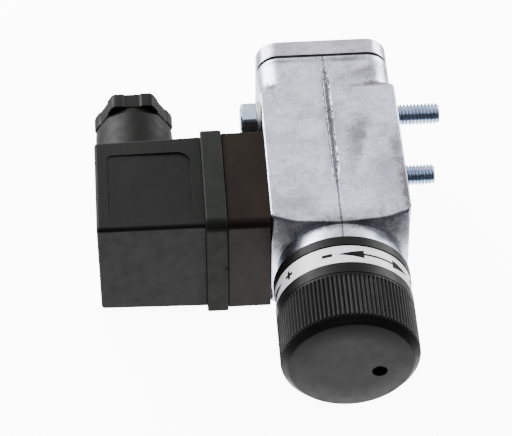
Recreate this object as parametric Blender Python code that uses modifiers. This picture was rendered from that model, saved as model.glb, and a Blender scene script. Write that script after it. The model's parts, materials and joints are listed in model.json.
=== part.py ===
"""Flange-mounted adjustable pressure switch with a rectangular plug connector.

The switch lies on its back: +Z is the normal of the housing's front face, the adjusting knob points
along -Y, and the flange with its mounting screws faces +X. The origin is on the flange face. Lengths are
written in millimetres, measured from the knob's axis, and the shape helpers turn them into metres.
"""

import math

import bmesh
import bpy
from mathutils import Matrix, Vector

MM = 0.001
REST_GAP = 0.3
FIT_GAP = 0.15

# Housing and cover
HALF_WIDTH = 15.0
HALF_DEPTH = 14.3
SHOULDER_Y = 39.0
HEAD_Y = 49.6
COVER_Y = (50.3, 54.9)
HEAD_CORNER = 5.0
FLANGE_X = 15.5
FLANGE_MIDDLE_Y = 20.0
NECK_RADIUS = 13.8
NECK_END_Y = -6.5
CONE_START = (14.3, -1.33)
CONE_RISE_PER_RADIUS = 0.406
COVER_SCREW_X = 10.6
COVER_SCREW_Z = 9.9

# Mounting screws and pressure port
MOUNT_Y = 33.8
MOUNT_Z = 10.0
MOUNT_HOLE_RADIUS = 2.75
M5_RADIUS = 2.45
M5_HEAD_X = (-19.7, -16.3)
M5_END_X = 25.1
M5_HEAD_FLATS = 8.0
PORT_RADIUS = 2.5
PORT_SEAT_RADIUS = 5.0
CHANNEL_X = 12.3
CHANNEL_RADIUS = 1.1

# Spring chamber, plunger and adjusting spindle
CHAMBER_RADIUS = 6.2
CHAMBER_Y = (0.5, 33.0)
GUIDE_RADIUS = 3.3
PLATE_RECESS_RADIUS = 10.3
PLATE_RECESS_Y = 44.0
BUSH_BORE_RADIUS = 5.3
SPINDLE_RADIUS = 3.0
PLUNGER_SEAT_Y = (27.2, 28.7)
SPRING_RADIUS = 4.8
SPRING_WIRE = 1.6
SPRING_Y = (9.8, 26.9)
NUT_Y = (6.0, 9.5)

# Knob
KNOB_RADIUS = 14.97
KNOB_Y = (-29.5, -6.2)
KNOB_CAVITY_RADIUS = 12.9
KNOB_FLOOR_Y = -26.3
SCALE_Y = (-13.6, -8.7)
SCALE_RADIUS = 14.79
LOCK_CENTRE = (6.1, -2.5)
LOCK_RADIUS = 1.5

# Connector: base, contacts, gasket, plug and cable gland, all about one line along X
PLUG_Y = 13.43
BASE_X = (-24.4, -15.3)
BASE_HALF = 13.8
CONTACT_CIRCLE = 9.0
CLAMP_CIRCLE = 8.2
BLADE = (6.3, 0.8)
GASKET_X = (-28.9, -24.6)
GASKET_HALF = 14.65
GASKET_OPENING = 11.3
PLUG_X = (-52.6, -29.1)
PLUG_HALF = 13.15
PLUG_FLARE = 0.35
PLUG_INSIDE = 11.1
PLUG_FLOOR_X = -48.6
BASE_SCREW = (9.2, 9.8)
GLAND_X = -43.7
GLAND_BOSS_RADIUS = 8.76
GLAND_BOSS_END_Y = 40.25
GLAND_HEX_RADIUS = 9.1
GLAND_HEX_Y = (42.6, 46.9)

# Microswitch
SWITCH_X = (-13.6, -7.8)
SWITCH_Y = (20.0, 26.5)
SWITCH_HALF = 6.4
BUTTON_X = -10.7
SWITCH_HOLE = (22.0, 3.25)
TERMINAL_PITCH = 5.08
TERMINAL_HALF_THICK = 0.25
TERMINAL_HALF_WIDE = 1.0

AXIS_ROTATION = {"X": (0.0, math.pi / 2, 0.0), "Y": (-math.pi / 2, 0.0, 0.0), "Z": (0.0, 0.0, 0.0)}


def clear_scene():
    for obj in list(bpy.data.objects):
        bpy.data.objects.remove(obj, do_unlink=True)


def new_collection(name):
    collection = bpy.data.collections.new(name)
    bpy.context.scene.collection.children.link(collection)
    return collection


clear_scene()
PARTS = new_collection("adjustable_pressure_switch")
HELPERS = new_collection("cutters_and_guides")


# ---- shapes: each is a mesh, a location and a rotation ---------------------------------------------------


def mesh_of(bm):
    mesh = bpy.data.meshes.new("shape")
    bm.to_mesh(mesh)
    bm.free()
    return mesh


def flared(shape, scale):
    """A box whose +X end is larger, as moulding draft leaves it."""
    mesh, location, rotation = shape
    for vertex in mesh.vertices:
        if vertex.co.x > 0:
            vertex.co.y *= scale
            vertex.co.z *= scale
    return mesh, location, rotation


def on_axis(along, centre, height):
    """The point at this height on an axis that crosses the other two directions at centre."""
    point = list(centre)
    point.insert("XYZ".index(along), height)
    return Vector(point) * MM


def runs_along(edge, axis):
    return abs((edge.verts[0].co - edge.verts[1].co)[axis]) > MM * 1e-3


def block(x, y, z, radius=0.0, along=None, segments=3):
    """A box between these limits, with its edges, or only those along one axis, rounded."""
    spans = (x, y, z)
    size = [(high - low) * MM for low, high in spans]
    middle = Vector([(high + low) / 2 * MM for low, high in spans])
    bm = bmesh.new()
    bmesh.ops.create_cube(bm, size=1.0, matrix=Matrix.Diagonal((*size, 1.0)))
    if radius:
        keep = "XYZ".index(along) if along else None
        edges = [edge for edge in bm.edges if keep is None or runs_along(edge, keep)]
        bmesh.ops.bevel(
            bm, geom=edges, offset=radius * MM, segments=segments, profile=0.5, affect="EDGES"
        )
    return mesh_of(bm), middle, (0.0, 0.0, 0.0)


def rod(radius, span, along, centre=(0.0, 0.0), sides=24, turn_deg=0.0):
    """A cylinder or, with few sides, a prism."""
    low, high = span
    bm = bmesh.new()
    bmesh.ops.create_cone(
        bm,
        cap_ends=True,
        segments=sides,
        radius1=radius * MM,
        radius2=radius * MM,
        depth=(high - low) * MM,
        matrix=Matrix.Rotation(math.radians(turn_deg), 4, "Z"),
    )
    return mesh_of(bm), on_axis(along, centre, (low + high) / 2), AXIS_ROTATION[along]


def turned(profile, along, centre=(0.0, 0.0), sides=20):
    """A profile of (radius, height) points turned about an axis. It runs down its outer side."""
    points = [(radius * MM, 0.0, height * MM) for radius, height in profile]
    edges = [(n, n + 1) for n in range(len(points) - 1)]
    if profile[0][0] > 0:
        edges.append((len(points) - 1, 0))
    mesh = bpy.data.meshes.new("profile")
    mesh.from_pydata(points, edges, [])
    obj = bpy.data.objects.new("profile", mesh)
    HELPERS.objects.link(obj)
    screw = obj.modifiers.new("turn", "SCREW")
    screw.steps = sides
    screw.render_steps = sides
    screw.use_merge_vertices = True
    screw.merge_threshold = MM * 1e-3
    graph = bpy.context.evaluated_depsgraph_get()
    solid = bpy.data.meshes.new_from_object(obj.evaluated_get(graph))
    bpy.data.objects.remove(obj)
    return solid, on_axis(along, centre, 0.0), AXIS_ROTATION[along]


def ring(inner, outer, span, along, centre=(0.0, 0.0), sides=20):
    low, high = span
    return turned([(outer, high), (outer, low), (inner, low), (inner, high)], along, centre, sides)


def o_ring(radius, section_radius, height, along, centre=(0.0, 0.0), sides=24, points=8):
    angles = [2 * math.pi * n / points for n in range(points)]
    profile = [
        (radius + section_radius * math.cos(a), height - section_radius * math.sin(a)) for a in angles
    ]
    return turned(profile, along, centre, sides)


# ---- objects ---------------------------------------------------------------------------------------------


def new_material(name, colour, roughness, metallic):
    material = bpy.data.materials.new(name)
    material.use_nodes = True
    shader = material.node_tree.nodes["Principled BSDF"]
    shader.inputs["Base Color"].default_value = (*colour, 1.0)
    shader.inputs["Roughness"].default_value = roughness
    shader.inputs["Metallic"].default_value = metallic
    material.diffuse_color = (*colour, 1.0)
    return material


FINISHES = {
    "aluminium": ((0.56, 0.58, 0.61), 0.42, 1.0),
    "zinc_steel": ((0.62, 0.66, 0.72), 0.3, 1.0),
    "spring_steel": ((0.42, 0.42, 0.43), 0.35, 1.0),
    "brass": ((0.66, 0.48, 0.2), 0.35, 1.0),
    "black_plastic": ((0.028, 0.028, 0.027), 0.55, 0.0),
    "grey_plastic": ((0.16, 0.17, 0.18), 0.5, 0.0),
    "rubber": ((0.035, 0.038, 0.034), 0.7, 0.0),
    "label_film": ((0.75, 0.73, 0.78), 0.4, 0.0),
    "wire_insulation": ((0.04, 0.1, 0.28), 0.45, 0.0),
}


def new_empty(name, location, parent=None):
    empty = bpy.data.objects.new(name, None)
    empty.empty_display_size = 5 * MM
    empty.location = location
    empty.parent = parent
    PARTS.objects.link(empty)
    return empty


FRAME = new_empty("knob_axis_origin", Vector((-FLANGE_X, -FLANGE_MIDDLE_Y, 0.0)) * MM)
KNOB_AXIS = new_empty("knob_turn_axis", (0.0, 0.0, 0.0), FRAME)
NUT_AXIS = new_empty("spring_nut_slide_axis", (0.0, 0.0, 0.0), FRAME)
PLUNGER_AXIS = new_empty("plunger_slide_axis", (0.0, 0.0, 0.0), FRAME)
BUTTON_AXIS = new_empty("button_press_axis", Vector((BUTTON_X, 0.0, 0.0)) * MM, FRAME)


def place_object(name, shapes, collection, parent):
    """One object for these shapes. A single shape keeps its own location and rotation."""
    if len(shapes) == 1:
        mesh, location, rotation = shapes[0]
    else:
        bm = bmesh.new()
        for shape, at, turn in shapes:
            start = len(bm.verts)
            bm.from_mesh(shape)
            bm.verts.ensure_lookup_table()
            rotation = Matrix.Rotation(turn[1], 4, "Y") @ Matrix.Rotation(turn[0], 4, "X")
            bmesh.ops.transform(bm, matrix=Matrix.Translation(at) @ rotation, verts=bm.verts[start:])
        mesh, location, rotation = mesh_of(bm), Vector((0.0, 0.0, 0.0)), (0.0, 0.0, 0.0)
    mesh.name = name
    obj = bpy.data.objects.new(name, mesh)
    collection.objects.link(obj)
    obj.parent = parent
    obj.location = location - (parent.location if parent is not FRAME else Vector((0.0, 0.0, 0.0)))
    obj.rotation_euler = rotation
    return obj


def part(name, finish, shapes, parent=FRAME):
    obj = place_object(name, shapes, PARTS, parent)
    obj.data.materials.clear()
    obj.data.materials.append(new_material(name, *FINISHES[finish]))
    obj.data.shade_smooth()
    obj.data.set_sharp_from_angle(angle=math.radians(35))
    return obj


def parts(name, finish, shapes):
    """Separate objects for pieces that the switch has several of, numbered from 1."""
    return [part(f"{name}_{n}", finish, [shape]) for n, shape in enumerate(shapes, 1)]


def combine(obj, operation, label, *shapes):
    """A Boolean with a hidden helper object made of these shapes."""
    helper = place_object(f"{obj.name}_{label}", list(shapes), HELPERS, FRAME)
    helper.hide_render = True
    helper.display_type = "WIRE"
    boolean = obj.modifiers.new(label, "BOOLEAN")
    boolean.operation = operation
    boolean.solver = "EXACT"
    boolean.object = helper


def cut(obj, label, *shapes):
    combine(obj, "DIFFERENCE", label, *shapes)


def fuse(obj, label, *shapes):
    combine(obj, "UNION", label, *shapes)


def tube_object(name, finish, path, radius):
    """A round wire with closed ends along these points."""
    curve = bpy.data.curves.new(name, "CURVE")
    curve.dimensions = "3D"
    curve.bevel_depth = radius * MM
    curve.bevel_resolution = 2
    curve.use_fill_caps = True
    spline = curve.splines.new("POLY")
    spline.points.add(len(path) - 1)
    for point, at in zip(spline.points, path):
        point.co = (*(Vector(at) * MM), 1.0)
    curve.materials.append(new_material(name, *FINISHES[finish]))
    obj = bpy.data.objects.new(name, curve)
    PARTS.objects.link(obj)
    obj.parent = FRAME
    return obj


def smooth_path(points, steps=3):
    """A Catmull-Rom curve through these points."""
    ends = [Vector(p) for p in (points[0], *points, points[-1])]
    path = []
    for n in range(1, len(ends) - 2):
        a, b, c, d = ends[n - 1 : n + 3]
        slope, bend, twist = c - a, 2 * a - 5 * b + 4 * c - d, 3 * b - a - 3 * c + d
        for step in range(steps):
            t = step / steps
            path.append(b + 0.5 * (slope * t + bend * t**2 + twist * t**3))
    return [*path, ends[-1]]


# ---- housing and pressure side ---------------------------------------------------------------------------


def stepped_hole(centre, along, head, shank):
    """A cutter for a screw: (radius, low, high) of its head and of its shank, which meet."""
    (head_radius, head_low, head_high), (shank_radius, shank_low, shank_high) = head, shank
    if head_low < shank_low:
        profile = [
            (0, shank_high),
            (shank_radius, shank_high),
            (shank_radius, head_high),
            (head_radius, head_high),
            (head_radius, head_low),
            (0, head_low),
        ]
    else:
        profile = [
            (0, head_high),
            (head_radius, head_high),
            (head_radius, head_low),
            (shank_radius, head_low),
            (shank_radius, shank_low),
            (0, shank_low),
        ]
    return turned(profile, along, centre, sides=20)


def corners(x, z, middle=0.0):
    return [(middle + x, z), (middle + x, -z), (middle - x, -z), (middle - x, z)]


def make_housing():
    depth = (-HALF_DEPTH, HALF_DEPTH)
    width = (-HALF_WIDTH, HALF_WIDTH)
    body = block(width, (NECK_END_Y, SHOULDER_Y), depth, 0.6, "Y", 2)
    housing = part("housing", "aluminium", [body])
    fuse(housing, "head", block(width, (SHOULDER_Y - 2, HEAD_Y), depth, HEAD_CORNER, "Y", 4))
    pad = block((HALF_WIDTH - 1, FLANGE_X), (2.0, SHOULDER_Y + 1), depth, 0.4, "Y", 2)
    fuse(housing, "flange_pad", pad)

    cone_radius, cone_y = CONE_START
    rim = 30.0
    rim_y = cone_y + (rim - cone_radius) * CONE_RISE_PER_RADIUS
    end_form = [(0, 60), (rim, 60), (rim, rim_y), CONE_START, (NECK_RADIUS, cone_y - 0.3)]
    end_form += [(NECK_RADIUS, NECK_END_Y), (0, NECK_END_Y)]
    combine(housing, "INTERSECT", "turned_end", turned(end_form, "Y", sides=48))

    chamber_low, chamber_high = CHAMBER_Y
    bores = [(0, 52), (PLATE_RECESS_RADIUS, 52), (PLATE_RECESS_RADIUS, PLATE_RECESS_Y)]
    bores += [(GUIDE_RADIUS, PLATE_RECESS_Y), (GUIDE_RADIUS, chamber_high), (CHAMBER_RADIUS, chamber_high)]
    bores += [(CHAMBER_RADIUS, chamber_low), (BUSH_BORE_RADIUS, chamber_low), (BUSH_BORE_RADIUS, -8), (0, -8)]
    cut(housing, "bores", turned(bores, "Y", sides=32))
    cut(housing, "keyway", block((5.0, 7.4), (3.0, 20.0), (-1.3, 1.3)))
    cut(housing, "switch_pocket", block((-17.0, -7.2), (5.0, 25.2), (-7.2, 7.2)))
    cut(housing, "switch_undercut", block((-13.9, -7.2), (24.0, 27.0), (-7.2, 7.2)))
    cut(housing, "arm_slot", block((-12.5, -2.0), (26.0, 32.5), (-3.3, 3.3)))
    mounting_holes = [rod(MOUNT_HOLE_RADIUS, (-18, 18), "X", (MOUNT_Y, z)) for z in (-MOUNT_Z, MOUNT_Z)]
    cut(housing, "mounting_holes", *mounting_holes)
    port = [(0, 18), (PORT_SEAT_RADIUS, 18), (PORT_SEAT_RADIUS, 14.2), (PORT_RADIUS, 14.2)]
    port += [(PORT_RADIUS, 11.4), (0, 11.4)]
    cut(housing, "port", turned(port, "X", (MOUNT_Y, 0)))
    cut(housing, "channel", rod(CHANNEL_RADIUS, (MOUNT_Y - 1, 52), "Y", (CHANNEL_X, 0), sides=20))
    screw_holes = [rod(1.7, (41.5, 52), "Y", at, sides=16) for at in corners(COVER_SCREW_X, COVER_SCREW_Z)]
    cut(housing, "cover_screw_holes", *screw_holes)
    base_holes = [rod(1.7, (-18, -8.5), "X", at, sides=16) for at in corners(*BASE_SCREW, PLUG_Y)]
    cut(housing, "base_screw_holes", *base_holes)
    switch_y, switch_z = SWITCH_HOLE
    switch_holes = [rod(1.15, (-8.0, -5.8), "X", (switch_y, z), sides=16) for z in (-switch_z, switch_z)]
    cut(housing, "switch_screw_holes", *switch_holes)


def make_cover():
    low, high = COVER_Y
    shape = block((-HALF_WIDTH, HALF_WIDTH), COVER_Y, (-HALF_DEPTH, HALF_DEPTH), HEAD_CORNER, "Y", 4)
    cover = part("cover", "aluminium", [shape])
    cut(cover, "pressure_chamber", rod(8.0, (low - 1, low + 1.5), "Y", sides=32))
    cut(cover, "channel_groove", block((6.0, CHANNEL_X + CHANNEL_RADIUS), (low - 1, low + 1.1), (-1.1, 1.1)))
    seats = corners(COVER_SCREW_X, COVER_SCREW_Z)
    holes = [stepped_hole(at, "Y", (2.9, high - 2.5, high + 1), (1.7, low - 1, high - 2.5)) for at in seats]
    cut(cover, "screw_holes", *holes)
    head = high - 2.2
    screw = [(0, high - 0.4), (2.5, high - 0.4), (2.5, head), (1.45, head), (1.45, 42.2), (0, 42.2)]
    screws = parts("cover_screw", "zinc_steel", [turned(screw, "Y", at, sides=16) for at in seats])
    for obj, at in zip(screws, seats):
        cut(obj, "hex_socket", rod(1.44, (high - 1.6, high + 1), "Y", at, sides=6))

    middle = (HEAD_Y + low) / 2
    width = HALF_WIDTH - 0.2
    depth = HALF_DEPTH - 0.2
    sheet = block((-width, width), (middle - 0.2, middle + 0.2), (-depth, depth), HEAD_CORNER, "Y", 4)
    diaphragm = part("diaphragm", "rubber", [sheet])
    holes = [rod(1.7, (middle - 1, middle + 1), "Y", at, sides=16) for at in seats]
    holes.append(rod(CHANNEL_RADIUS, (middle - 1, middle + 1), "Y", (CHANNEL_X, 0), sides=20))
    cut(diaphragm, "holes", *holes)


def make_mounting():
    seats = [(MOUNT_Y, MOUNT_Z), (MOUNT_Y, -MOUNT_Z)]
    head_radius = M5_HEAD_FLATS / math.sqrt(3)
    head_high = M5_HEAD_X[1]
    heads = [rod(head_radius, M5_HEAD_X, "X", at, sides=6, turn_deg=30) for at in seats]
    screws = parts("mounting_screw", "zinc_steel", heads)
    shank = [(0, M5_END_X), (M5_RADIUS - 0.5, M5_END_X), (M5_RADIUS, M5_END_X - 0.5)]
    shank += [(M5_RADIUS, head_high - 1), (0, head_high - 1)]
    for obj, at in zip(screws, seats):
        fuse(obj, "shank", turned(shank, "X", at, sides=16))
    washers = [ring(M5_RADIUS + FIT_GAP, 4.3, (head_high + 0.2, -HALF_WIDTH - 0.2), "X", at) for at in seats]
    parts("spring_washer", "spring_steel", washers)
    part("flange_o_ring", "rubber", [o_ring(3.75, 0.8, 15.05, "X", (MOUNT_Y, 0))])


def make_plunger():
    seat_low, seat_high = PLUNGER_SEAT_Y
    plate = [(0, 48.9), (8.0, 48.9), (8.5, 48.4), (8.5, 47.0), (5.0, 46.4), (0, 46.4)]
    part("diaphragm_plate", "aluminium", [turned(plate, "Y", sides=32)], PLUNGER_AXIS)
    stem = GUIDE_RADIUS - REST_GAP
    body = [(0, 46.1), (stem, 46.1), (stem, seat_high), (5.6, seat_high), (5.6, seat_low)]
    body += [(3.5, seat_low), (3.5, seat_low - 2), (0, seat_low - 2)]
    part("plunger", "brass", [turned(body, "Y")], PLUNGER_AXIS)

    arm_low = seat_high + REST_GAP
    arm_high = arm_low + 1.0
    arm = part("actuator_arm", "spring_steel", [rod(5.4, (arm_low, arm_high), "Y")], PLUNGER_AXIS)
    fuse(arm, "tongue", block((BUTTON_X - 1.2, -3.6), (arm_low, arm_high), (-2.4, 2.4)))
    fuse(arm, "dimple", rod(1.0, (28.3, arm_high - 0.4), "Y", (BUTTON_X, 0), sides=16))
    cut(arm, "shaft_hole", rod(GUIDE_RADIUS, (arm_low - 1, arm_high + 1), "Y"))


def make_range_spring():
    """Closed end turns at each end and open turns between them."""
    low, high = SPRING_Y[0] + SPRING_WIRE / 2, SPRING_Y[1] - SPRING_WIRE / 2
    open_turns, per_turn, end_rise = 5, 10, SPRING_WIRE * 1.1
    heights = [low, low + end_rise, high - end_rise, high]
    turns_at = [0, 1, 1 + open_turns, 2 + open_turns]
    path = []
    for n in range(per_turn * turns_at[-1] + 1):
        turn = n / per_turn
        stretch = 0 if turn < 1 else (1 if turn < 1 + open_turns else 2)
        share = (turn - turns_at[stretch]) / (turns_at[stretch + 1] - turns_at[stretch])
        height = heights[stretch] + share * (heights[stretch + 1] - heights[stretch])
        angle = 2 * math.pi * turn
        path.append((SPRING_RADIUS * math.cos(angle), height, SPRING_RADIUS * math.sin(angle)))
    tube_object("range_spring", "spring_steel", path, SPRING_WIRE / 2)


def make_spindle():
    inner = SPINDLE_RADIUS + FIT_GAP
    nut = part("spring_nut", "brass", [rod(5.8, NUT_Y, "Y")], NUT_AXIS)
    fuse(nut, "key", block((4.5, 7.1), (NUT_Y[0] + 0.2, NUT_Y[1] - 0.2), (-1.0, 1.0)))
    cut(nut, "thread", rod(inner, (NUT_Y[0] - 1, NUT_Y[1] + 1), "Y"))

    radius = SPINDLE_RADIUS
    spindle = [(0, 14), (radius - 0.4, 14), (radius, 13.6), (radius, 3.7), (4.9, 3.7), (4.9, 2.5)]
    spindle += [(radius, 2.5), (radius, -6.6), (2.4, -6.6), (2.4, -7.5), (radius, -7.5)]
    spindle += [(radius, -25.0), (0, -25.0)]
    part("adjusting_spindle", "zinc_steel", [turned(spindle, "Y")], KNOB_AXIS)
    bush = [(5.9, 2.2), (5.9, 0.8), (5.0, 0.8), (5.0, -4.3), (inner, -4.3), (inner, 2.2)]
    part("spindle_bush", "brass", [turned(bush, "Y")])
    part("spindle_o_ring", "rubber", [o_ring(4.15, 0.75, -5.3, "Y")])
    clip = part("retaining_clip", "spring_steel", [ring(2.6, 5.0, (-7.3, -6.8), "Y")], KNOB_AXIS)
    cut(clip, "gap", block((0.0, 6.0), (-8.0, -6.0), (-1.9, 1.9)))


def make_knob():
    end, top = KNOB_Y
    scale_low, scale_high = SCALE_Y
    bore = SPINDLE_RADIUS + FIT_GAP
    hub_top = -8.2
    profile = [(0, -25.4), (bore, -25.4), (bore, hub_top), (6.0, hub_top), (6.0, KNOB_FLOOR_Y)]
    profile += [(KNOB_CAVITY_RADIUS, KNOB_FLOOR_Y), (KNOB_CAVITY_RADIUS, -7.6)]
    profile += [(NECK_RADIUS + REST_GAP, -7.6), (NECK_RADIUS + REST_GAP, top), (KNOB_RADIUS, top)]
    profile += [(KNOB_RADIUS, scale_high), (14.4, scale_high), (14.4, scale_low), (KNOB_RADIUS, scale_low)]
    profile += [(KNOB_RADIUS, end + 1.6), (KNOB_RADIUS - 1.7, end), (0, end)]
    knob = part("knob", "black_plastic", [turned(profile, "Y", sides=48)], KNOB_AXIS)
    fuse(knob, "lock_boss", rod(3.2, (KNOB_FLOOR_Y - 1, -15.0), "Y", LOCK_CENTRE, sides=20))
    hole = rod(LOCK_RADIUS + FIT_GAP, (end - 1, hub_top + 1), "Y", LOCK_CENTRE, sides=20)
    cut(knob, "lock_hole", hole)
    scale = ring(14.5, SCALE_RADIUS, (scale_low + 0.1, scale_high - 0.1), "Y", sides=48)
    part("scale_ring", "label_film", [scale], KNOB_AXIS)
    screw_body = rod(LOCK_RADIUS, (end + 1.2, -12.0), "Y", LOCK_CENTRE, sides=20)
    screw = part("knob_lock_screw", "spring_steel", [screw_body], KNOB_AXIS)
    cut(screw, "hex_socket", rod(0.9, (end, end + 3.2), "Y", LOCK_CENTRE, sides=6))


# ---- microswitch -----------------------------------------------------------------------------------------


def terminal_bar(z, y, clearance=0.0):
    """A microswitch terminal at this z or, with a clearance, the slot for one."""
    thick = TERMINAL_HALF_THICK + clearance
    wide = TERMINAL_HALF_WIDE + clearance
    return block((BUTTON_X - thick, BUTTON_X + thick), y, (z - wide, z + wide))


def make_microswitch():
    low, high = SWITCH_X
    switch_y, switch_z = SWITCH_HOLE
    outer = block(SWITCH_X, SWITCH_Y, (-SWITCH_HALF, SWITCH_HALF))
    case = part("microswitch_case", "black_plastic", [outer])
    screw_seats = [(switch_y, -switch_z), (switch_y, switch_z)]
    cut(case, "screw_holes", *[rod(1.15, (low - 1, high + 1), "X", at, sides=16) for at in screw_seats])
    cut(case, "button_well", block((BUTTON_X - 0.95, BUTTON_X + 0.95), (24.0, 27.5), (-1.5, 1.5)))
    pitches = (-TERMINAL_PITCH, 0.0, TERMINAL_PITCH)
    cut(case, "terminal_slots", *[terminal_bar(z, (19.0, 20.7), FIT_GAP) for z in pitches])
    parts("microswitch_terminal", "brass", [terminal_bar(z, (15.4, 20.5)) for z in pitches])
    button = block((BUTTON_X - 0.7, BUTTON_X + 0.7), (24.9, 28.0), (-1.2, 1.2))
    part("microswitch_button", "grey_plastic", [button], BUTTON_AXIS)
    seat = low - REST_GAP
    screw = [(0, -6.0), (0.95, -6.0), (0.95, seat), (1.7, seat), (1.7, seat - 1.0), (0, seat - 1.0)]
    parts("microswitch_screw", "zinc_steel", [turned(screw, "X", at, sides=16) for at in screw_seats])


def make_lead_wires():
    """From the switch's terminals down, out into the base and up to the contacts."""
    side = [(0, 15.0, 0), (-0.3, 13.2, 0.1), (-2.0, 11.6, 0.4)]
    side += [(-4.4, 11.0, 0.9), (-5.5, 12.2, 2.6), (-6.2, 13.3, 3.5)]
    middle = [(0, 15.0, 0), (-0.4, 13.2, 0), (-2.6, 12.2, 0)]
    middle += [(-4.8, 14.4, 0), (-5.4, 18.4, 0), (-6.2, 22.2, 0)]
    for number, (sign, route) in enumerate(((-1, side), (0, middle), (1, side)), 1):
        points = [(BUTTON_X + x, y, sign * (TERMINAL_PITCH + z)) for x, y, z in route]
        tube_object(f"lead_wire_{number}", "wire_insulation", smooth_path(points), 0.6)


# ---- connector -------------------------------------------------------------------------------------------


def contact_seats():
    """(y, z, is the blade's width along Y) of the three contacts, then of the earth."""
    return [
        (PLUG_Y + CONTACT_CIRCLE, 0.0, False),
        (PLUG_Y, CONTACT_CIRCLE, True),
        (PLUG_Y, -CONTACT_CIRCLE, True),
        (PLUG_Y - CONTACT_CIRCLE, 0.0, False),
    ]


def flat_at(seat, x, wide, thick):
    """A flat bar along X at a contact's place."""
    y, z, along_y = seat
    half_y, half_z = (wide / 2, thick / 2) if along_y else (thick / 2, wide / 2)
    return block(x, (y - half_y, y + half_y), (z - half_z, z + half_z))


def make_base():
    low, high = BASE_X
    half = (PLUG_Y - BASE_HALF, PLUG_Y + BASE_HALF)
    floor_x = -19.3
    outer = block(BASE_X, half, (-BASE_HALF, BASE_HALF), 1.4, "X", 3)
    base = part("connector_base", "black_plastic", [outer])
    cut(base, "cavity", block((floor_x, high + 1), (3.0, 24.0), (-7.4, 7.4)))
    cut(base, "side_cavities", block((floor_x, high + 1), (8.0, 19.0), (-11.0, 11.0)))
    cut(base, "bush_hole", rod(2.85, (low - 1, floor_x + 1), "X", (PLUG_Y, 0)))
    wide, thick = BLADE
    slots = [flat_at(seat, (low - 1, floor_x + 1), wide + 0.4, thick + 0.4) for seat in contact_seats()]
    cut(base, "blade_slots", *slots)
    seats = corners(*BASE_SCREW, PLUG_Y)
    holes = [stepped_hole(at, "X", (2.5, low - 1, -21.5), (1.7, -21.5, high + 1)) for at in seats]
    cut(base, "screw_holes", *holes)
    screw = [(0, -9.0), (1.45, -9.0), (1.45, -21.8), (2.3, -21.8), (2.3, -23.8), (0, -23.8)]
    screws = parts("base_screw", "zinc_steel", [turned(screw, "X", at, sides=16) for at in seats])
    for obj, (y, z) in zip(screws, seats):
        cut(obj, "drive_slot", block((-25.0, -23.0), (y - 0.35, y + 0.35), (z - 3, z + 3)))
    part("threaded_bush", "brass", [ring(1.75, 2.7, (-24.2, -19.5), "X", (PLUG_Y, 0))])

    seats = contact_seats()
    parts("contact_blade", "brass", [flat_at(seat, (-39.0, -17.3), wide, thick) for seat in seats[:3]])
    earth = part("earth_blade", "brass", [flat_at(seats[3], (-39.0, -15.9), wide, thick)])
    fuse(earth, "foot", block((-16.4, -15.4), (seats[3][0] - 0.4, seats[3][0] + 3.0), (-3.15, 3.15)))


def make_gasket():
    low, high = GASKET_X
    y = (PLUG_Y - GASKET_HALF, PLUG_Y + GASKET_HALF)
    outer = block(GASKET_X, y, (-GASKET_HALF, GASKET_HALF), 2.4, "X", 3)
    gasket = part("plug_gasket", "rubber", [outer])
    y = (PLUG_Y - GASKET_OPENING, PLUG_Y + GASKET_OPENING)
    opening = block((low - 1, high + 1), y, (-GASKET_OPENING, GASKET_OPENING), 1.0, "X", 2)
    cut(gasket, "opening", opening)


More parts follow.
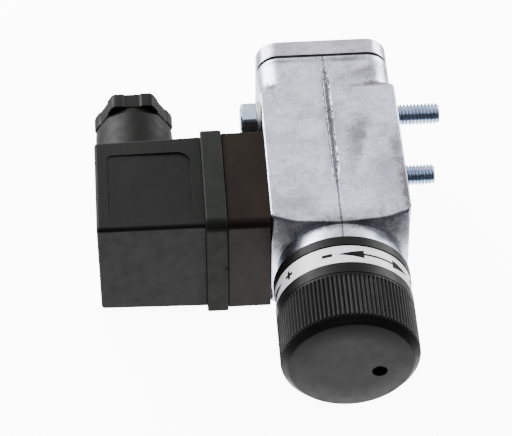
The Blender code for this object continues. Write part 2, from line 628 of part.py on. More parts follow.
def make_plug():
    low, high = PLUG_X
    outer = (PLUG_Y - PLUG_HALF, PLUG_Y + PLUG_HALF)
    inner = (PLUG_Y - PLUG_INSIDE, PLUG_Y + PLUG_INSIDE)
    box = block(PLUG_X, outer, (-PLUG_HALF, PLUG_HALF), 1.0, "X", 2)
    shape = flared(box, 1 + PLUG_FLARE / PLUG_HALF)
    plug = part("plug_housing", "black_plastic", [shape])
    fuse(plug, "gland_boss", rod(GLAND_BOSS_RADIUS, (24.0, GLAND_BOSS_END_Y), "Y", (GLAND_X, 0), sides=48))
    cut(plug, "inside", block((PLUG_FLOOR_X, high + 1), inner, (-PLUG_INSIDE, PLUG_INSIDE)))
    cut(plug, "gland_bore", rod(6.5, (22.0, GLAND_BOSS_END_Y + 1), "Y", (GLAND_X, 0), sides=32))
    screw_hole = stepped_hole((PLUG_Y, 0), "X", (3.6, low - 1, -50.0), (1.8, -50.0, PLUG_FLOOR_X + 1))
    cut(plug, "screw_hole", screw_hole)

    insert_x = (-42.6, -30.5)
    reach = PLUG_INSIDE - 0.4
    insert_y = (PLUG_Y - reach, PLUG_Y + reach)
    body = block(insert_x, insert_y, (-reach, reach), 1.0, "X", 2)
    insert = part("terminal_insert", "grey_plastic", [body])
    cut(insert, "screw_hole", rod(2.0, (-44, -29), "X", (PLUG_Y, 0), sides=20))
    wide, thick = BLADE
    slots = [flat_at(seat, (-39.3, -29.0), wide + 0.5, thick + 0.5) for seat in contact_seats()]
    cut(insert, "blade_slots", *slots)
    scale = CLAMP_CIRCLE / CONTACT_CIRCLE
    clamp_seats = [(PLUG_Y + (y - PLUG_Y) * scale, z * scale, along_y) for y, z, along_y in contact_seats()]
    cut(insert, "clamp_pockets", *[flat_at(seat, (-44.0, -39.4), 5.8, 3.6) for seat in clamp_seats])
    bars = [flat_at(seat, (-41.8, -39.6), 5.2, 3.0) for seat in clamp_seats]
    clamps = parts("terminal_clamp", "brass", bars)
    screw = [(0, -39.9), (1.05, -39.9), (1.05, -42.0), (1.4, -42.0), (1.4, -43.2), (0, -43.2)]
    bodies = [turned(screw, "X", seat[:2], sides=16) for seat in clamp_seats]
    screws = parts("terminal_screw", "zinc_steel", bodies)
    for clamp, obj, (y, z, _) in zip(clamps, screws, clamp_seats):
        cut(clamp, "hole", rod(1.2, (-43, -38), "X", (y, z), sides=16))
        cut(obj, "drive_slot", block((-44.0, -42.7), (y - 0.2, y + 0.2), (z - 2, z + 2)))

    screw = [(0, -19.8), (1.5, -19.8), (1.5, -50.9), (3.0, -50.9), (3.0, low + 0.4), (0, low + 0.4)]
    plug_screw = part("plug_screw", "zinc_steel", [turned(screw, "X", (PLUG_Y, 0), sides=28)])
    cut(plug_screw, "drive_slot", block((low - 1, low + 1.3), (PLUG_Y - 0.4, PLUG_Y + 0.4), (-4, 4)))
    part("plug_screw_seal", "rubber", [ring(1.7, 3.3, (-50.75, -50.15), "X", (PLUG_Y, 0), sides=20)])


def make_gland():
    at = (GLAND_X, 0)
    hex_low, hex_high = GLAND_HEX_Y
    hexagon = rod(GLAND_HEX_RADIUS, GLAND_HEX_Y, "Y", at, sides=6, turn_deg=90)
    nut = part("gland_nut", "black_plastic", [hexagon])
    collar_y = GLAND_BOSS_END_Y + 0.25
    spigot = [(0, hex_low + 1), (7.4, hex_low + 1), (7.4, collar_y), (6.2, collar_y), (6.2, 36.5), (0, 36.5)]
    fuse(nut, "spigot", turned(spigot, "Y", at))
    cut(nut, "bore", rod(4.2, (35.0, hex_high + 1), "Y", at))
    part("gland_washer", "grey_plastic", [ring(3.8, 6.2, (34.9, 36.2), "Y", at)])
    part("gland_seal", "rubber", [ring(3.4, 6.2, (27.2, 34.6), "Y", at)])


for make in (
    make_housing,
    make_cover,
    make_mounting,
    make_plunger,
    make_range_spring,
    make_spindle,
    make_knob,
    make_microswitch,
    make_lead_wires,
    make_base,
    make_gasket,
    make_plug,
    make_gland,
):
    make()
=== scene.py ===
"""Looks of a flange-mounted adjustable pressure switch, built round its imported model.

Shapes are written in millimetres. Their Y runs along the knob's axis, with its zero 6.5 mm inside the housing
from the end of the neck that the knob turns on, and place() moves them to the frame's metres.
"""

import json
import math

import bmesh
import bpy
from mathutils import Matrix, Vector, noise


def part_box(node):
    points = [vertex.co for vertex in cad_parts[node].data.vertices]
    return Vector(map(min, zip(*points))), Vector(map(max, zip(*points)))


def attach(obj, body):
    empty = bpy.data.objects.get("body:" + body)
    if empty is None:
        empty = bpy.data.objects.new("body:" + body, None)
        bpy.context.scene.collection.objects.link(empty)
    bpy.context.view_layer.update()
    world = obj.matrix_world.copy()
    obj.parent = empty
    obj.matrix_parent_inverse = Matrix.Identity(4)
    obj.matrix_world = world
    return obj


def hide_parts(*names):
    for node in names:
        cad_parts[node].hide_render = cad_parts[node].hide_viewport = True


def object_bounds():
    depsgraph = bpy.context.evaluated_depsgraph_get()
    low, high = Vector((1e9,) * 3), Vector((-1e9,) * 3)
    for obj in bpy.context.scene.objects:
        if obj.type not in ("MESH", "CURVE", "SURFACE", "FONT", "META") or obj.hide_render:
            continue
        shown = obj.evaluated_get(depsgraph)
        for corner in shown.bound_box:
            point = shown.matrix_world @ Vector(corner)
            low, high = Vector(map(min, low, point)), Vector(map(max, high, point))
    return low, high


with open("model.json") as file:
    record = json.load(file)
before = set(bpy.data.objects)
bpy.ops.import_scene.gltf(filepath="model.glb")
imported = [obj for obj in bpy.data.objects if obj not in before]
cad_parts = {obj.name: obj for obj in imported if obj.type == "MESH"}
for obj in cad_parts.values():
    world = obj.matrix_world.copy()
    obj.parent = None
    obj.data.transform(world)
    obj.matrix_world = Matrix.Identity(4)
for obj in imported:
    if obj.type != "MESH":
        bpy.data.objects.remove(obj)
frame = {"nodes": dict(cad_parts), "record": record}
CAD_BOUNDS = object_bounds()

MM = 0.001
NECK_LENGTH = 6.5
KNOB_LOW, KNOB_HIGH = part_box("knob")
ORIGIN = Vector(((KNOB_LOW.x + KNOB_HIGH.x) / 2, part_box("housing")[0].y + NECK_LENGTH * MM, 0.0))


def box_mm(node):
    """A node's limits in millimetres from the origin on the knob's axis: (low, high)."""
    return [(corner - ORIGIN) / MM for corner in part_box(node)]


def span(node, axis):
    low, high = box_mm(node)
    return low["XYZ".index(axis)], high["XYZ".index(axis)]


# ---- shapes ----


def loft(rings, closed=False):
    """Faces between rings of matching points, with flat ends unless the last ring joins the first."""
    bm = bmesh.new()
    rows = [[bm.verts.new(point) for point in ring] for ring in rings]
    pairs = list(zip(rows, rows[1:]))
    if closed:
        pairs.append((rows[-1], rows[0]))
    for low, high in pairs:
        for n in range(len(low)):
            after = (n + 1) % len(low)
            bm.faces.new((low[n], low[after], high[after], high[n]))
    if not closed:
        bm.faces.new(rows[0][::-1])
        bm.faces.new(rows[-1])
    bmesh.ops.remove_doubles(bm, verts=bm.verts, dist=1e-4)
    bmesh.ops.recalc_face_normals(bm, faces=bm.faces)
    return bm


def on_axis(along, height, u, v):
    """A point at this height on an axis, with u and v in the other two directions."""
    point = [u, v]
    point.insert("XYZ".index(along), height)
    return Vector(point)


def around(along, height, centre, radius, angle):
    """A point at this radius and angle about an axis."""
    return on_axis(along, height, centre[0] + radius * math.cos(angle), centre[1] + radius * math.sin(angle))


def turned(profile, along, centre=(0.0, 0.0), sides=64, closed=False):
    """(radius, height) points turned about an axis. A closed profile makes a ring."""
    angles = [2 * math.pi * n / sides for n in range(sides)]
    rings = [[around(along, height, centre, radius, angle) for angle in angles] for radius, height in profile]
    return loft(rings, closed)


def rounded_rectangle(half_u, half_v, radii, shares_u=(), shares_v=(), arc=8):
    """Points round a rectangle with one corner radius, or with four in the order ++, -+, --, +-.

    The shares, from -1 to 1, place extra points along its sides.
    """
    if not isinstance(radii, tuple):
        radii = (radii,) * 4
    signs = ((1, 1), (-1, 1), (-1, -1), (1, -1))
    points = []
    for quarter, (sign_u, sign_v) in enumerate(signs):
        radius, next_radius = radii[quarter], radii[(quarter + 1) % 4]
        for n in range(arc + 1):
            angle = math.pi / 2 * (quarter + n / arc)
            u, v = sign_u * (half_u - radius), sign_v * (half_v - radius)
            points.append((u + radius * math.cos(angle), v + radius * math.sin(angle)))
        for share in shares_v if quarter % 2 else shares_u:
            corner = radius if share < 0 else next_radius
            if quarter % 2:
                points.append((sign_u * half_u, -sign_v * share * (half_v - corner)))
            else:
                points.append((-sign_u * share * (half_u - corner), sign_v * half_v))
    return points


def bar(along, limits, half_u, half_v, middle, corners, edges, draft=0.0, steps=4, arc=8):
    """A rounded-rectangle bar with rounded end edges, one size or (low, high). Draft widens its high end."""
    low, high = limits
    if not isinstance(edges, tuple):
        edges = (edges, edges)
    if not isinstance(corners, tuple):
        corners = (corners,) * 4
    stations = []
    for n in range(steps + 1):
        along_edge, inward = 1 - math.cos(math.pi / 2 * n / steps), 1 - math.sin(math.pi / 2 * n / steps)
        stations.insert(n, (low + edges[0] * along_edge, edges[0] * inward))
        stations.insert(n + 1, (high - edges[1] * along_edge, edges[1] * inward))
    rings = []
    for height, inset in stations:
        grow = draft * (height - low) / (high - low) - inset
        radii = tuple(max(corner - inset, 0.05) for corner in corners)
        outline = rounded_rectangle(half_u + grow, half_v + grow, radii, arc=arc)
        rings.append([on_axis(along, height, middle[0] + u, middle[1] + v) for u, v in outline])
    return loft(rings)


def box(x, y, z):
    bm = bmesh.new()
    size = [high - low for low, high in (x, y, z)]
    middle = Vector([(high + low) / 2 for low, high in (x, y, z)])
    bmesh.ops.create_cube(bm, size=1.0, matrix=Matrix.Translation(middle) @ Matrix.Diagonal((*size, 1.0)))
    return bm


def joined(*shapes):
    """Several closed shapes in one mesh."""
    bm = bmesh.new()
    for shape in shapes:
        mesh = bpy.data.meshes.new("joined")
        shape.to_mesh(mesh)
        shape.free()
        bm.from_mesh(mesh)
        bpy.data.meshes.remove(mesh)
    return bm


def temporary(bm):
    mesh = bpy.data.meshes.new("temporary")
    bm.to_mesh(mesh)
    bm.free()
    obj = bpy.data.objects.new("temporary", mesh)
    bpy.context.scene.collection.objects.link(obj)
    return obj


def combined(bm, operation, other):
    """The Boolean of two closed shapes."""
    target, tool = temporary(bm), temporary(other)
    boolean = target.modifiers.new("combine", "BOOLEAN")
    boolean.operation = operation
    boolean.solver = "EXACT"
    boolean.object = tool
    mesh = bpy.data.meshes.new_from_object(target.evaluated_get(bpy.context.evaluated_depsgraph_get()))
    result = bmesh.new()
    result.from_mesh(mesh)
    bpy.data.meshes.remove(mesh)
    for obj in (target, tool):
        mesh = obj.data
        bpy.data.objects.remove(obj)
        bpy.data.meshes.remove(mesh)
    return result


def cut(bm, *tools):
    for tool in tools:
        bm = combined(bm, "DIFFERENCE", tool)
    return bm


def fused(bm, *tools):
    for tool in tools:
        bm = combined(bm, "UNION", tool)
    return bm


def smooth_step(value, low, high):
    share = min(max((value - low) / (high - low), 0.0), 1.0)
    return share * share * (3 - 2 * share)


def smooth_minimum(a, b, width):
    share = min(max(0.5 + 0.5 * (b - a) / width, 0.0), 1.0)
    return b + (a - b) * share - width * share * (1 - share)


def place(name, bm, material, body, nodes=(), sharp_deg=32.0):
    """Makes a piece from a shape in millimetres, says what it rides on, and hides the imported nodes it
    stands in for.
    """
    bmesh.ops.transform(bm, matrix=Matrix.Translation(ORIGIN) @ Matrix.Scale(MM, 4), verts=bm.verts)
    mesh = bpy.data.meshes.new(name)
    bm.to_mesh(mesh)
    bm.free()
    mesh.materials.append(material)
    mesh.shade_smooth()
    mesh.set_sharp_from_angle(angle=math.radians(sharp_deg))
    obj = bpy.data.objects.new(name, mesh)
    bpy.context.scene.collection.objects.link(obj)
    weighted = obj.modifiers.new("even_shading", "WEIGHTED_NORMAL")
    weighted.keep_sharp = True
    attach(obj, body)
    if nodes:
        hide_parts(*nodes)
    return obj


# ---- dimensions of the housing that the frame doesn't give ----

HALF_WIDTH = 15.0
HEAD_CORNER = 5.0
BODY_CORNER = 0.45
LEFT_RUNOUT_Y = (38.4, 40.3, 41.4)
LEFT_RUNOUT_CORNER = 2.6
RIGHT_RUNOUT_Y = (38.9, 40.5)
PAD_Y = (2.0, 40.4)
NECK_RADIUS = 13.8
CONE_RADIUS = 14.3
CONE_Y = -1.33
FLARE_SLOPE = 1.35
CONE_RISE = 0.406
SEAM_Y = (11.0, 45.5)
THIN_SEAM = 0.13
WIDE_SEAM = 0.6
COVER_SCREWS = [(x, z) for x in (-10.6, 10.6) for z in (-9.9, 9.9)]


# ---- materials ----


class Finish:
    """A Principled material whose pattern nodes read the piece's own coordinates."""

    def __init__(self, name, colour, roughness, metallic=0.0, specular=0.5):
        self.material = bpy.data.materials.new(name)
        self.material.use_nodes = True
        self.tree = self.material.node_tree
        self.shader = self.tree.nodes["Principled BSDF"]
        self.shader.inputs["Base Color"].default_value = (*colour, 1.0)
        self.shader.inputs["Roughness"].default_value = roughness
        self.shader.inputs["Metallic"].default_value = metallic
        self.shader.inputs["Specular IOR Level"].default_value = specular
        self.place = self.tree.nodes.new("ShaderNodeTexCoord").outputs["Object"]
        self.height = None

    def link(self, source, target):
        self.tree.links.new(source, target)

    def stretched(self, scale):
        mapping = self.tree.nodes.new("ShaderNodeMapping")
        mapping.inputs["Scale"].default_value = scale
        self.link(self.place, mapping.inputs["Vector"])
        return mapping.outputs["Vector"]

    def noise(self, size_mm, detail=3.0, roughness=0.55, stretch=None, distortion=0.0):
        """Noise whose lumps are about this size."""
        node = self.tree.nodes.new("ShaderNodeTexNoise")
        node.inputs["Scale"].default_value = 1 / (size_mm * MM)
        node.inputs["Detail"].default_value = detail
        node.inputs["Roughness"].default_value = roughness
        node.inputs["Distortion"].default_value = distortion
        self.link(self.stretched(stretch) if stretch else self.place, node.inputs["Vector"])
        return node.outputs["Fac"]

    def ramp(self, source, *stops):
        """A value or colour for each (position, value)."""
        node = self.tree.nodes.new("ShaderNodeValToRGB")
        elements = node.color_ramp.elements
        while len(elements) < len(stops):
            elements.new(0.5)
        for element, (position, value) in zip(elements, stops):
            element.position = position
            element.color = (*value, 1.0) if isinstance(value, tuple) else (value, value, value, 1.0)
        self.link(source, node.inputs["Fac"])
        return node.outputs["Color"]

    def scaled(self, source, low, high, start=0.3, end=0.7):
        """A value that runs from low to high as the source runs from start to end."""
        node = self.tree.nodes.new("ShaderNodeMapRange")
        for socket, value in (("From Min", start), ("From Max", end), ("To Min", low), ("To Max", high)):
            node.inputs[socket].default_value = value
        self.link(source, node.inputs["Value"])
        return node.outputs["Result"]

    def maths(self, operation, first, second):
        node = self.tree.nodes.new("ShaderNodeMath")
        node.operation = operation
        for socket, value in zip(node.inputs, (first, second)):
            if isinstance(value, float):
                socket.default_value = value
            else:
                self.link(value, socket)
        return node.outputs["Value"]

    def mixed(self, factor, first, second, blend="MIX"):
        node = self.tree.nodes.new("ShaderNodeMix")
        node.data_type = "RGBA"
        node.blend_type = blend
        if isinstance(factor, float):
            node.inputs[0].default_value = factor
        else:
            self.link(factor, node.inputs[0])
        for socket, value in zip((node.inputs[6], node.inputs[7]), (first, second)):
            if isinstance(value, tuple):
                socket.default_value = (*value, 1.0)
            else:
                self.link(value, socket)
        return node.outputs[2]

    def millimetres(self, axis):
        """The place along X, Y or Z, in millimetres from the origin on the knob's axis."""
        node = self.tree.nodes.new("ShaderNodeSeparateXYZ")
        self.link(self.place, node.inputs["Vector"])
        shifted = self.maths("SUBTRACT", node.outputs[axis], float(ORIGIN["XYZ".index(axis)]))
        return self.maths("DIVIDE", shifted, MM)

    def ellipsoid_mask(self, centre, radii, turn_deg, ragged):
        """1 inside an ellipsoid, fading to 0 outside it, with an edge torn by the ragged noise."""
        mapping = self.tree.nodes.new("ShaderNodeMapping")
        mapping.vector_type = "TEXTURE"
        mapping.inputs["Location"].default_value = ORIGIN + Vector(centre) * MM
        mapping.inputs["Rotation"].default_value = (0.0, 0.0, math.radians(turn_deg))
        mapping.inputs["Scale"].default_value = Vector(radii) * MM
        self.link(self.place, mapping.inputs["Vector"])
        length = self.tree.nodes.new("ShaderNodeVectorMath")
        length.operation = "LENGTH"
        self.link(mapping.outputs["Vector"], length.inputs[0])
        torn = self.maths("ADD", length.outputs["Value"], self.scaled(ragged, -0.55, 0.55, 0.25, 0.75))
        return self.scaled(torn, 1.0, 0.0, 0.35, 1.15)

    def colour(self, source):
        self.link(source, self.shader.inputs["Base Color"])

    def rough(self, source):
        self.link(source, self.shader.inputs["Roughness"])

    def bump(self, source, height_mm, strength=1.0):
        """Raises the surface by the source, on top of any bump already there."""
        node = self.tree.nodes.new("ShaderNodeBump")
        node.inputs["Strength"].default_value = strength
        node.inputs["Distance"].default_value = height_mm * MM
        self.link(source, node.inputs["Height"])
        if self.height:
            self.link(self.height, node.inputs["Normal"])
        self.height = node.outputs["Normal"]
        self.link(self.height, self.shader.inputs["Normal"])


def cast_aluminium(name, light, dark, stain, stretch=(1.0, 1.0, 1.0), stains_and_shade=(), seam=None):
    """Die-cast skin: clouded, speckled and stained, with listed ellipsoid marks that are stains, painted
    shade and painted dark reflections, and the parting line's painted shade.
    """
    finish = Finish(name, light, 0.4, metallic=1.0)
    clouds = finish.noise(9.0, detail=4.0, roughness=0.6, stretch=stretch, distortion=0.8)
    grain = finish.noise(0.45, detail=3.0)
    skin = finish.ramp(clouds, (0.34, dark), (0.58, light))
    skin = finish.mixed(0.4, skin, finish.ramp(grain, (0.3, 0.2), (0.7, 0.8)), "OVERLAY")
    blotches = finish.noise(2.2, detail=4.0, roughness=0.65, distortion=0.4)
    skin = finish.mixed(0.35, skin, finish.ramp(blotches, (0.35, 0.25), (0.65, 0.7)), "OVERLAY")
    streaks = finish.noise(3.0, detail=5.0, roughness=0.7, stretch=stretch, distortion=1.6)
    skin = finish.mixed(finish.scaled(streaks, 0.0, 0.55, 0.54, 0.76), skin, stain)
    # Each listed mark mixes its tint in: real stains, painted shade and painted dark reflections.
    for centre, radii, turn_deg, depth, tint in stains_and_shade:
        mask = finish.maths("MULTIPLY", finish.ellipsoid_mask(centre, radii, turn_deg, streaks), depth)
        skin = finish.mixed(mask, skin, tint)
    finish.rough(finish.scaled(finish.noise(5.0, detail=4.0), 0.24, 0.38))
    finish.bump(finish.noise(1.8, detail=2.0), 0.02)
    finish.bump(grain, 0.012)
    if seam:
        skin = finish.mixed(seam_mask(finish), skin, seam)
    finish.colour(skin)
    return finish.material


def seam_mask(finish):
    """The parting line's dark: painted shade in the two torn edges of the flash, and a little less dark on
    the rough flash between them.
    """
    wobble = finish.scaled(finish.noise(1.1, detail=4.0), -0.22, 0.22, 0.25, 0.75)
    across = finish.maths("ABSOLUTE", finish.maths("ADD", finish.millimetres("X"), wobble), 0.0)
    along = finish.millimetres("Y")
    low_end = finish.scaled(along, THIN_SEAM, WIDE_SEAM, SEAM_Y[0] - 2.0, SEAM_Y[0] + 4.0)
    high_end = finish.scaled(along, WIDE_SEAM, THIN_SEAM, SEAM_Y[1] - 3.0, SEAM_Y[1])
    share = finish.maths("DIVIDE", across, finish.maths("MINIMUM", low_end, high_end))
    torn = finish.scaled(finish.noise(0.5, detail=2.0), 0.78, 1.0, 0.35, 0.6)
    half_share = finish.maths("MULTIPLY", share, 0.5)
    edges = finish.ramp(half_share, (0.0, 0.84), (0.36, 0.88), (0.5, 1.0), (0.78, 0.0))
    return finish.maths("MULTIPLY", edges, torn)


def zinc_plate(name, colour, tint):
    finish = Finish(name, colour, 0.24, metallic=1.0)
    finish.colour(finish.ramp(finish.noise(2.5, detail=3.0, distortion=0.6), (0.38, colour), (0.66, tint)))
    finish.rough(finish.scaled(finish.noise(0.8, detail=4.0), 0.16, 0.34))
    finish.bump(finish.noise(0.3, detail=2.0), 0.006)
    return finish.material


def turned_metal(name, colour, shade, roughness, groove_stretch):
    """Metal with fine tool marks across the stretched direction."""
    finish = Finish(name, colour, roughness, metallic=1.0)
    marks = finish.noise(0.25, detail=2.0, stretch=groove_stretch)
    finish.colour(finish.ramp(finish.noise(3.0), (0.35, shade), (0.65, colour)))
    finish.rough(finish.scaled(marks, roughness - 0.08, roughness + 0.12))
    finish.bump(marks, 0.008)
    return finish.material


def moulded(name, colour, shade, roughness, grain_mm=0.22, grain_height=0.006, specular=0.09):
    """Moulded plastic or rubber: fine even grain, faint flow marks and slightly uneven gloss."""
    finish = Finish(name, colour, roughness, specular=specular)
    flow = finish.noise(7.0, detail=3.0, stretch=(1.0, 0.5, 1.0), distortion=0.5)
    grain = finish.noise(grain_mm, detail=2.0)
    finish.colour(finish.ramp(flow, (0.36, shade), (0.64, colour)))
    finish.rough(finish.scaled(finish.noise(2.4, detail=4.0), roughness - 0.06, roughness + 0.08))
    finish.bump(grain, grain_height)
    return finish.material


# Grey serves for real stains, and for painted shade in the left runout's scoop and at the cone's junction
# with the neck.
GREY_STAIN_AND_SHADE = (0.10, 0.10, 0.105)
BROWN_STAIN = (0.14, 0.11, 0.105)
LILAC_STAIN = (0.20, 0.175, 0.205)
# Painted dark reflection on the cone.
CONE_DARK_REFLECTION = (0.15, 0.15, 0.14)
WALL_SHADE = (0.015, 0.015, 0.015)
# Painted shade in the parting line's grooves.
SEAM_SHADE = (0.03, 0.027, 0.027)
# Real stains, with painted shade and painted dark reflections among them.
# (centre, radii, turn about Z in degrees, strength, tint), in millimetres
HOUSING_STAINS_AND_SHADE = [
    ((5.6, 22.5, 14.3), (2.4, 10.5, 3.0), -14.0, 0.55, GREY_STAIN_AND_SHADE),
    ((5.0, 25.0, 14.3), (3.4, 5.0, 3.0), -10.0, 0.45, GREY_STAIN_AND_SHADE),
    ((9.5, 43.4, 13.0), (7.5, 3.2, 4.0), 6.0, 0.8, LILAC_STAIN),
    ((10.8, 40.2, 13.5), (6.5, 1.1, 3.0), 3.0, 0.9, BROWN_STAIN),
    # Painted shade in the scoop above the left runout.
    ((-13.2, 41.0, 12.5), (2.6, 1.9, 4.0), 30.0, 1.0, GREY_STAIN_AND_SHADE),
    ((15.2, 8.0, 14.0), (2.2, 9.0, 3.0), 0.0, 0.95, GREY_STAIN_AND_SHADE),
    ((12.0, 12.0, 14.3), (4.5, 11.0, 3.0), 0.0, 0.45, LILAC_STAIN),
    ((-10.0, 4.5, 14.3), (6.5, 3.0, 3.0), 0.0, 0.5, LILAC_STAIN),
    ((-9.0, 48.4, 14.0), (6.0, 0.8, 3.0), 0.0, 0.7, GREY_STAIN_AND_SHADE),
    ((4.5, 48.3, 14.0), (6.0, 1.0, 3.0), 0.0, 0.75, GREY_STAIN_AND_SHADE),
    ((0.0, 29.0, 14.3), (2.0, 19.0, 3.0), 0.0, 0.35, GREY_STAIN_AND_SHADE),
    ((-15.3, 35.0, 4.5), (1.6, 7.0, 10.5), 0.0, 1.0, WALL_SHADE),
    # Painted shade along the junction of the cone and the neck at the front.
    ((0.0, -1.5, 14.3), (9.0, 1.6, 4.0), 0.0, 0.75, GREY_STAIN_AND_SHADE),
    # These three: painted dark reflection on the cone, across its middle, its left and its right.
    ((0.0, 0.0, 8.0), (17.0, 2.6, 12.0), 0.0, 0.5, CONE_DARK_REFLECTION),
    ((-12.5, -0.2, 8.5), (4.5, 2.6, 7.0), 0.0, 0.75, CONE_DARK_REFLECTION),
    ((12.5, -0.2, 9.0), (4.0, 2.4, 6.0), 0.0, 0.5, CONE_DARK_REFLECTION),
    ((14.0, 20.0, 14.3), (1.6, 6.0, 3.0), 0.0, 0.55, GREY_STAIN_AND_SHADE),
    ((12.5, 46.5, 12.0), (3.0, 2.6, 4.0), 0.0, 0.7, GREY_STAIN_AND_SHADE),
]
CAST_LIGHT, CAST_DARK = (0.585, 0.615, 0.72), (0.43, 0.45, 0.53)
CAST_STAIN = (0.25, 0.25, 0.28)
HOUSING_ALUMINIUM = cast_aluminium(
    "housing_aluminium_stains_and_painted_shade",
    CAST_LIGHT,
    CAST_DARK,
    CAST_STAIN,
    stains_and_shade=HOUSING_STAINS_AND_SHADE,
    seam=SEAM_SHADE,
)
ALUMINIUM = cast_aluminium("die_cast_aluminium", CAST_LIGHT, CAST_DARK, CAST_STAIN)
COVER_ALUMINIUM = cast_aluminium(
    "cover_aluminium", (0.49, 0.485, 0.56), (0.32, 0.31, 0.365), (0.20, 0.19, 0.225), stretch=(0.25, 1.3, 1.0)
)
ZINC = zinc_plate("zinc_plated_steel", (0.47, 0.54, 0.67), (0.37, 0.45, 0.59))
SPRING_STEEL = turned_metal("spring_steel", (0.56, 0.55, 0.53), (0.42, 0.41, 0.40), 0.32, (1.0, 8.0, 1.0))
BLACK_OXIDE = turned_metal("black_oxide_steel", (0.045, 0.045, 0.05), (0.025, 0.025, 0.028), 0.42, (1, 6, 1))
BRASS = turned_metal("brass", (0.70, 0.50, 0.20), (0.56, 0.39, 0.15), 0.3, (1.0, 8.0, 1.0))
TIN = turned_metal("tinned_contact", (0.70, 0.70, 0.67), (0.60, 0.60, 0.57), 0.28, (8.0, 1.0, 1.0))
TURNED_ALUMINIUM = turned_metal("turned_aluminium", (0.66, 0.67, 0.69), (0.56, 0.57, 0.6), 0.3, (1, 8, 1))
PLUG_PLASTIC = moulded("black_plug_plastic", (0.0065, 0.0065, 0.0062), (0.0045, 0.0045, 0.0045), 0.5)
BASE_PLASTIC = moulded(
    "black_base_plastic", (0.0142, 0.0095, 0.0064), (0.010, 0.0065, 0.0042), 0.42, specular=0.06
)
KNOB_PLASTIC = moulded(
    "black_knob_plastic", (0.008, 0.0078, 0.0075), (0.0055, 0.0055, 0.0055), 0.4, 0.3, grain_height=0.014
)
SCALE_FILM = moulded(
    "scale_film", (0.94, 0.92, 0.96), (0.90, 0.88, 0.93), 0.32, 0.8, grain_height=0.003, specular=0.6
)
SCALE_INK = moulded(
    "scale_ink", (0.004, 0.004, 0.005), (0.006, 0.006, 0.006), 0.5, 0.3, grain_height=0.002, specular=0.05
)
GASKET_RUBBER = moulded("gasket_rubber", (0.0135, 0.015, 0.0125), (0.010, 0.0115, 0.0095), 0.62, 0.35, 0.015)
BLACK_RUBBER = moulded("black_rubber", (0.010, 0.010, 0.010), (0.007, 0.007, 0.007), 0.6, 0.3, 0.012)
GREY_PLASTIC = moulded("grey_plastic", (0.16, 0.17, 0.18), (0.13, 0.14, 0.15), 0.5)
SWITCH_PLASTIC = moulded("switch_plastic", (0.03, 0.03, 0.033), (0.022, 0.022, 0.024), 0.4)
INSULATION = moulded("wire_insulation", (0.03, 0.08, 0.25), (0.025, 0.06, 0.2), 0.35, 0.5, 0.004)
BY_SLOT = {
    "die_cast_aluminium": ALUMINIUM,
    "cover_aluminium": COVER_ALUMINIUM,
    "zinc_plated_steel": ZINC,
    "spring_steel": SPRING_STEEL,
    "black_oxide_steel": BLACK_OXIDE,
    "brass": BRASS,
    "tinned_contact": TIN,
    "turned_aluminium": TURNED_ALUMINIUM,
    "black_plug_plastic": PLUG_PLASTIC,
    "black_base_plastic": BASE_PLASTIC,
    "black_knob_plastic": KNOB_PLASTIC,
    "scale_film": SCALE_FILM,
    "gasket_rubber": GASKET_RUBBER,
    "black_rubber": BLACK_RUBBER,
    "grey_plastic": GREY_PLASTIC,
    "switch_plastic": SWITCH_PLASTIC,
    "wire_insulation": INSULATION,
}


def refinish_frame():
    """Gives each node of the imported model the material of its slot."""
    for subpart in frame["record"]["subparts"]:
        mesh = frame["nodes"][subpart["node"]].data
        mesh.materials.clear()
        mesh.materials.append(BY_SLOT[subpart["material_slot"]])
        mesh.shade_smooth()
        mesh.set_sharp_from_angle(angle=math.radians(35))


# ---- housing ----

HALF_DEPTH = span("housing", "Z")[1]
HEAD_Y = span("housing", "Y")[1]
FLANGE_X = span("housing", "X")[1]
MOUNT_Y = sum(span("mounting_screw_1", "Y")) / 2
MOUNT_Z = sum(span("mounting_screw_1", "Z")) / 2


def seam_width(y):
    rough = smooth_step(y, SEAM_Y[0] - 2, SEAM_Y[0] + 4) * (1 - smooth_step(y, SEAM_Y[1] - 3, SEAM_Y[1]))
    return THIN_SEAM + (WIDE_SEAM - THIN_SEAM) * rough


def seam_rise(x, y):
    """The torn edge of the flash that was broken off along the parting line, between two fine grooves."""
    width = seam_width(y)
    across = abs(x + 0.12 * noise.noise(Vector((0.0, y * 0.8, 3.0)))) / width
    if across > 2.2:
        return 0.0
    ragged = noise.noise(Vector((x * 2.2, y * 1.9, 11.0))) + 0.5 * noise.noise(Vector((x * 6, y * 5, 4)))
    flash = 0.14 * width * (0.6 + ragged) * math.exp(-(across**4))
    groove = 0.35 * width * (0.7 + ragged) * math.exp(-(((across - 1.05) / 0.25) ** 2))
    return flash - groove


def waviness(x, y, z):
    return 0.035 * noise.noise(Vector((x, y, z)) / 5.5) + 0.012 * noise.noise(Vector((x, y, z)) / 1.7)


# Places of extra points along the front and side faces, close together at the parting line
SEAM_SHARES = (0.006, 0.014, 0.022, 0.029, 0.036, 0.044, 0.054, 0.075, 0.11)
WIDE_SHARES = (0.16, 0.22, 0.3, 0.38, 0.46, 0.54, 0.62, 0.7, 0.78, 0.85, 0.91, 0.96)
FRONT_SHARES = [-s for s in (*SEAM_SHARES, *WIDE_SHARES)][::-1] + [0.0, *SEAM_SHARES, *WIDE_SHARES]
SIDE_SHARES = [n / 12 for n in range(-11, 12)]


def left_corner(y):
    """The left corners open out along a straight slant, then slowly up to the head's radius."""
    start, slant_end, end = LEFT_RUNOUT_Y
    slant = min(max((y - start) / (slant_end - start), 0.0), 1.0) * (LEFT_RUNOUT_CORNER - BODY_CORNER)
    return BODY_CORNER + slant + (HEAD_CORNER - LEFT_RUNOUT_CORNER) * smooth_step(y, slant_end, end)


